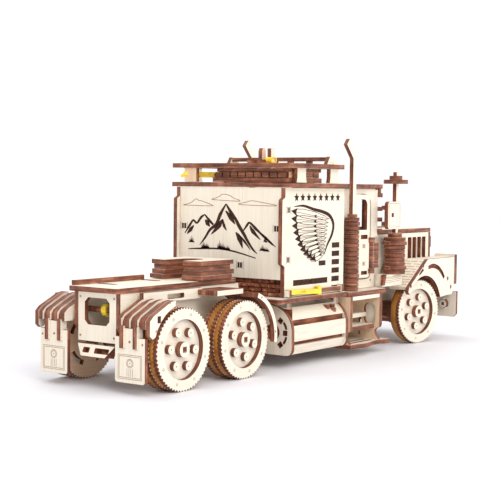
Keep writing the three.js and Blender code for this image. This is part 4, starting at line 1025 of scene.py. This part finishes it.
def cab_marks(word, side):
    """Pillar with its tenons, door hinge, and engraving on the cab and the cowl."""
    part = Piece(f"cab_marks_{word}", side)
    x0, x1, _, y1, z0, z1 = span(f"cab_side_{word}")
    wall = y1 - HINGE_REACH
    part.block(x1 + SINK, x1 + 4.4, wall - PLY, wall, z1 - 40, z1 - 0.5, plane="XZ")
    for z in (z1 - 7, z1 - 18.5, z1 - 27.5, z1 - 37):
        part.block(x1 + 4.2, x1 + 9.8, wall - 4, wall + 1.6, z, z + PLY, TAN, "XY")
    door_barrels(part, word, z0)
    marks = Marks(part, "XZ", wall)
    marks.eyes([(x0 + 6, z0 + 6), (x1 - 6, z0 + 6)], 0.9)
    x, top, foot = x1 - 7.4, z1 - 4.6, z0 + 8
    upper = at(x, top, (-16, 0), (-6, -0.6), (-1, -5), (0, -14)) + [(x, z0 + 40)]
    lower = at(x, foot, (0, 8), (0, 4), (-3, 0), (-24, 0))
    marks.fill([stroke(smooth(line, 3), 0.7) for line in (upper, lower)])
    _, x, _, y, _, z = span(f"hood_side_{word}")
    part.block(x + 3.8, x + 7.2, y - 8, y - 1, z - 14, z - 4, plane="YZ")
    cowl_marks(part, word)
    part.finish("warm_plywood")


ARCH_R = 36  # wheel arch in the hood's side


def hood_side(word, side):
    """Side of the hood with four vents and a burnt-coloured sheet behind them, painted shade that makes the
    vents read dark.
    """
    part, (x0, x1, y0, y1, z0, z1) = rebuilt(f"hood_side_{word}", side)
    reach = math.degrees(math.asin((z0 - WHEEL_R) / ARCH_R))
    arch = arc(FRONT.x, WHEEL_R, ARCH_R, 180 - reach, reach, 16)
    pitch, first, wide = 9, x1 - 39, 6.6
    vents = [rect(first + pitch * k, first + wide + pitch * k, z1 - 23, z1 - 4) for k in range(4)]
    part.sheet("XZ", [(x0, z0), *arch, (x1, z0), (x1, z1), (x0, z1)], y0, y1, vents)
    # painted shade: a burnt-coloured sheet behind the vents makes them read dark
    part.block(x1 - 41, x1 - 3, y0 - 1.4, y0 - 0.1, z1 - 25, z1 - 2, BURNT_EDGE_AND_SHADE, "XZ")
    lines = [x1 - 31.6 + pitch * k for k in range(3)]
    Marks(part, "XZ", y1).fill([rect(x, x + 0.8, z1 - 22, z1 - 5) for x in lines], FINE_INK)
    part.finish()


def kerf_lines(part, toe, peak, y0, y1):
    """Rows of short engraved cuts across the sloping part of the bent sheet."""
    along = Vector(peak) - Vector(toe)
    out = Vector((-along.y, along.x)).normalized() * HAIR
    odd_row = ((y0 + 1, y0 + 7.5), (y0 + 9, y1 - 1))
    even_row = ((y0 + 0.2, y0 + 3.6), (y0 + 5, y0 + 12), (y0 + 13.4, y1 - 0.2))
    count = 11
    for k in range(1, count):
        a, b = (Vector(toe) + along * place / count for place in (k - 0.12, k))
        for ends in odd_row if k % 2 else even_row:
            part.sheet("XZ", [tuple(p) for p in (a, b, b + out, a + out)], *ends, look=FINE_INK)


def fender_pins(part, x, z, y1):
    """Pointed pin marks with an eye over each."""
    marks, over = Marks(part, "XZ", y1), Marks(part, "XZ", y1)
    over.ends[1] += 0.02
    for a, b in at(x, z, (-3.4, 41), (44, 27), (-25.8, 24), (50.5, 19)):
        marks.fill([at(a, b, (0, -2.4), (1, 0), (0, 2.4), (-1, 0))])
        over.eyes([(a, b)], 1.6)


def front_fender(word, side):
    """Side plate, bent top sheet with its kerf lines, dark arch and nose board; the arch is burnt edge
    colour with painted shade.
    """
    part, (_, x1, y0, y2, _, z1) = rebuilt(f"front_fender_{word}", side)
    y1 = y2 - PLY
    x, z = FRONT.x, WHEEL_R
    toe, peak, nose = polar(36.6, 141, x, z), (x + 5, z1), x1 - 5.2
    foot = at(*toe, (0, 0), (-1.6, -4), (1.2, -6.4), (3.4, -5))
    plate = [*foot, *arc(x, z, 31.8, 139, 20, 20), (x + 44, z + 12), (nose - 4, z + 12), (nose, z + 16),
             (nose, z1), peak]
    curve = at(x, z, (6, 38.6), (15, 39.8), (24.8, 37.6), (32, 33), (37, 28))
    cuts = [stroke(smooth(curve, 4), spread([3.0, 4, 4, 4, 3.2], 4)),
            stroke(at(x, z, (-10.5, 33.2), (-7, 35.4), (-3.2, 37.6)), [1.6, 2.4, 2.6])]
    part.sheet("XZ", plate, y1, y2, cuts)
    # burnt-coloured fills sunk in the cuts: their burnt walls, and painted shade in them
    for cut in cuts:
        part.sheet("XZ", cut, y1 + 0.3, y2 - 1.6, look=BURNT_EDGE_AND_SHADE)
    under = z1 - 2.6
    top = [toe, (toe[0] + 2, toe[1] - 2.6), (peak[0] + 1, under), (nose, under), (nose, z1), peak]
    part.sheet("XZ", top, y0, y1, look=BARE)
    kerf_lines(part, toe, peak, y0, y1)
    # dark arch under the fender: burnt edge colour and painted shade of the sheet's underside
    part.sheet("XZ", arc(x, z, 33.6, 132, 22, 20) + arc(x, z, 32.0, 22, 132, 20), y0 + 0.2, y1, look=BURNT_EDGE_AND_SHADE)
    part.block(nose + SINK, x1, y0, y2 + 0.4, z + 21, z1 + 2.2, plane="YZ")
    fender_pins(part, x, z, y2)
    part.finish()


def lamp(word, side):
    """Round lamp on the bumper with a square port."""
    part = Piece(f"lamp_{word}", side)
    x0, x1 = low("bumper").x - 3, high("bumper").x + 0.2
    part.sheet("YZ", disc(45.5, WHEEL_R + 2, 3.9, 24), x0, x1, [rect(44.3, 46.7, 28.8, 31.2)])
    part.finish()


def door(word, side):
    """Door leaf with its window, slots, engraved tenons and the knuckles it swings on."""
    part, (x0, x1, y0, _, z0, z1) = rebuilt(f"door_{word}", side)
    leaf_x1, y1 = x1 - 7, y0 + PLY
    window = [(x0 + 4, z1 - 29), (leaf_x1 - 4, z1 - 29), (leaf_x1 - 4, z1 - 10),
              *arc(leaf_x1 - 9, z1 - 9, 5, 0, 90, 5), (x0 + 4, z1 - 4)]
    slots = [rect(x0 + 10, x0 + 20.6, z1 - 36.6, z1 - 33.2), rect(x0 + 11, x0 + 20.6, z0 + 2.4, z0 + 5.4)]
    part.sheet("XZ", soft(x0, leaf_x1, z0, z1, 2), y0, y1, [window, *slots])
    # painted shade: burnt-coloured fills sunk in the slots make them read dark
    for slot in slots:
        part.sheet("XZ", slot, y0 + 0.2, y0 + 1.2, look=BURNT_EDGE_AND_SHADE)
    x, y = x1 - 3, y1 - 0.3
    knuckle = arc(x, y, 3, -90, 90, 8) + [(leaf_x1 - 1, y + 2), (leaf_x1 - 1, y0 + 0.3)]
    for z in (z0 + 3, z1 - 39.7):
        part.sheet("XY", knuckle, z, z + 4.2, look=TAN)
    part.puck(x, y, 1.2, 12, z0 + 6, z1 - 38)
    for z in (z0 + 26, z0 + 11.5):
        Marks(part, "XZ", y1).tenon(x0 + 15, z, 2.6, 3, 0.9, FINE_INK)
    part.finish(body=f"{word}_door")


for side, word in SIDES:
    for make in (mudflap, side_wall_art, side_bands, fuel_tank, step_box, exhaust, air_cleaner, cab_marks,
                 hood_side, front_fender, lamp, door):
        make(word, side)
rear_marks()
rear_tray()
for side, word in SIDES:
    fender_marks(word, side)
for make in (fifth_wheel, rear_wall_art, sleeper_foot, roof_rack, roof_bands, roof_spoiler):
    make()


# ---- camera, floor and light
CAMERA_PLACE = (REAR.x - 599.10, -543.09, 135.53)
CAMERA_YAW, CAMERA_PITCH, CAMERA_ROLL = 0.630936, -0.0529281, 0.01155
CAMERA_LENS, SENSOR = 84.63, 36
FLOOR_REACH = 6
FLOOR_TONES_WITH_PAINTED_SHADE = [(0.25, (0.78, 0.77, 0.80)), (0.6, (0.97, 0.97, 0.99))]  # darker near the middle as painted shade under the model; by metres from the middle
LIGHT_TARGET = Vector((0, 0, 0.07))


def camera_axes(yaw, pitch, roll):
    """Right, up and forward of the camera."""
    forward = Vector((math.cos(yaw) * math.cos(pitch), math.sin(yaw) * math.cos(pitch), math.sin(pitch)))
    level = Vector((math.sin(yaw), -math.cos(yaw), 0))
    above = level.cross(forward)
    right = math.cos(roll) * level + math.sin(roll) * above
    up = -math.sin(roll) * level + math.cos(roll) * above
    return right, up, forward


def add_object(name, data, matrix):
    obj = bpy.data.objects.new(name, data)
    bpy.context.scene.collection.objects.link(obj)
    obj.matrix_world = matrix
    return obj


def add_camera():
    data = bpy.data.cameras.new("camera")
    data.sensor_width = SENSOR
    data.lens = CAMERA_LENS
    data.clip_start, data.clip_end = 0.01, 20
    right, up, forward = camera_axes(CAMERA_YAW, CAMERA_PITCH, CAMERA_ROLL)
    rotation = Matrix((right, up, -forward)).transposed()
    bpy.context.scene.camera = add_object("camera", data, move(*CAMERA_PLACE) @ rotation.to_4x4())


def add_floor():
    """Pale paper with painted shade: a little darker under the model so that its shadow reads."""
    mesh = bpy.data.meshes.new("floor")
    corners = rect(-FLOOR_REACH, FLOOR_REACH, -FLOOR_REACH, FLOOR_REACH)
    mesh.from_pydata([(x, y, 0) for x, y in corners], [], [(0, 1, 2, 3)])
    material, tree, shader, coords = new_material("floor_paper", 0.9)
    length = add_node(tree, "VectorMath", Vector=coords["Object"])
    length.operation = "LENGTH"
    connect(tree, shader, Base_Color=ramp(tree, length.outputs["Value"], FLOOR_TONES_WITH_PAINTED_SHADE))
    mesh.materials.append(material)
    add_object("floor", mesh, Matrix.Identity(4))


def add_light(name, place, size, power, color):
    """Soft panel aimed at the model."""
    data = bpy.data.lights.new(name, "AREA")
    data.shape = "RECTANGLE"
    data.size, data.size_y = size
    data.energy = power
    data.color = color
    aim = (LIGHT_TARGET - Vector(place)).to_track_quat("-Z", "Y")
    add_object(name, data, Matrix.Translation(place) @ aim.to_matrix().to_4x4())


def add_world(strength):
    world = bpy.data.worlds.new("studio")
    world.use_nodes = True
    connect(world.node_tree, world.node_tree.nodes["Background"], Color=(1, 1, 1, 1), Strength=strength)
    bpy.context.scene.world = world


add_camera()
add_floor()
bpy.context.scene.view_settings.view_transform = "Standard"
add_world(1.05)
add_light("key", (-0.9, -1.3, 1.1), (0.9, 0.9), 15, (1.0, 0.985, 0.96))
add_light("fill", (0.9, -1.2, 0.5), (0.8, 0.8), 4, (1.0, 0.98, 0.96))
add_light("top", (0.2, 0.5, 1.3), (1.0, 0.8), 4, (0.97, 0.98, 1.0))
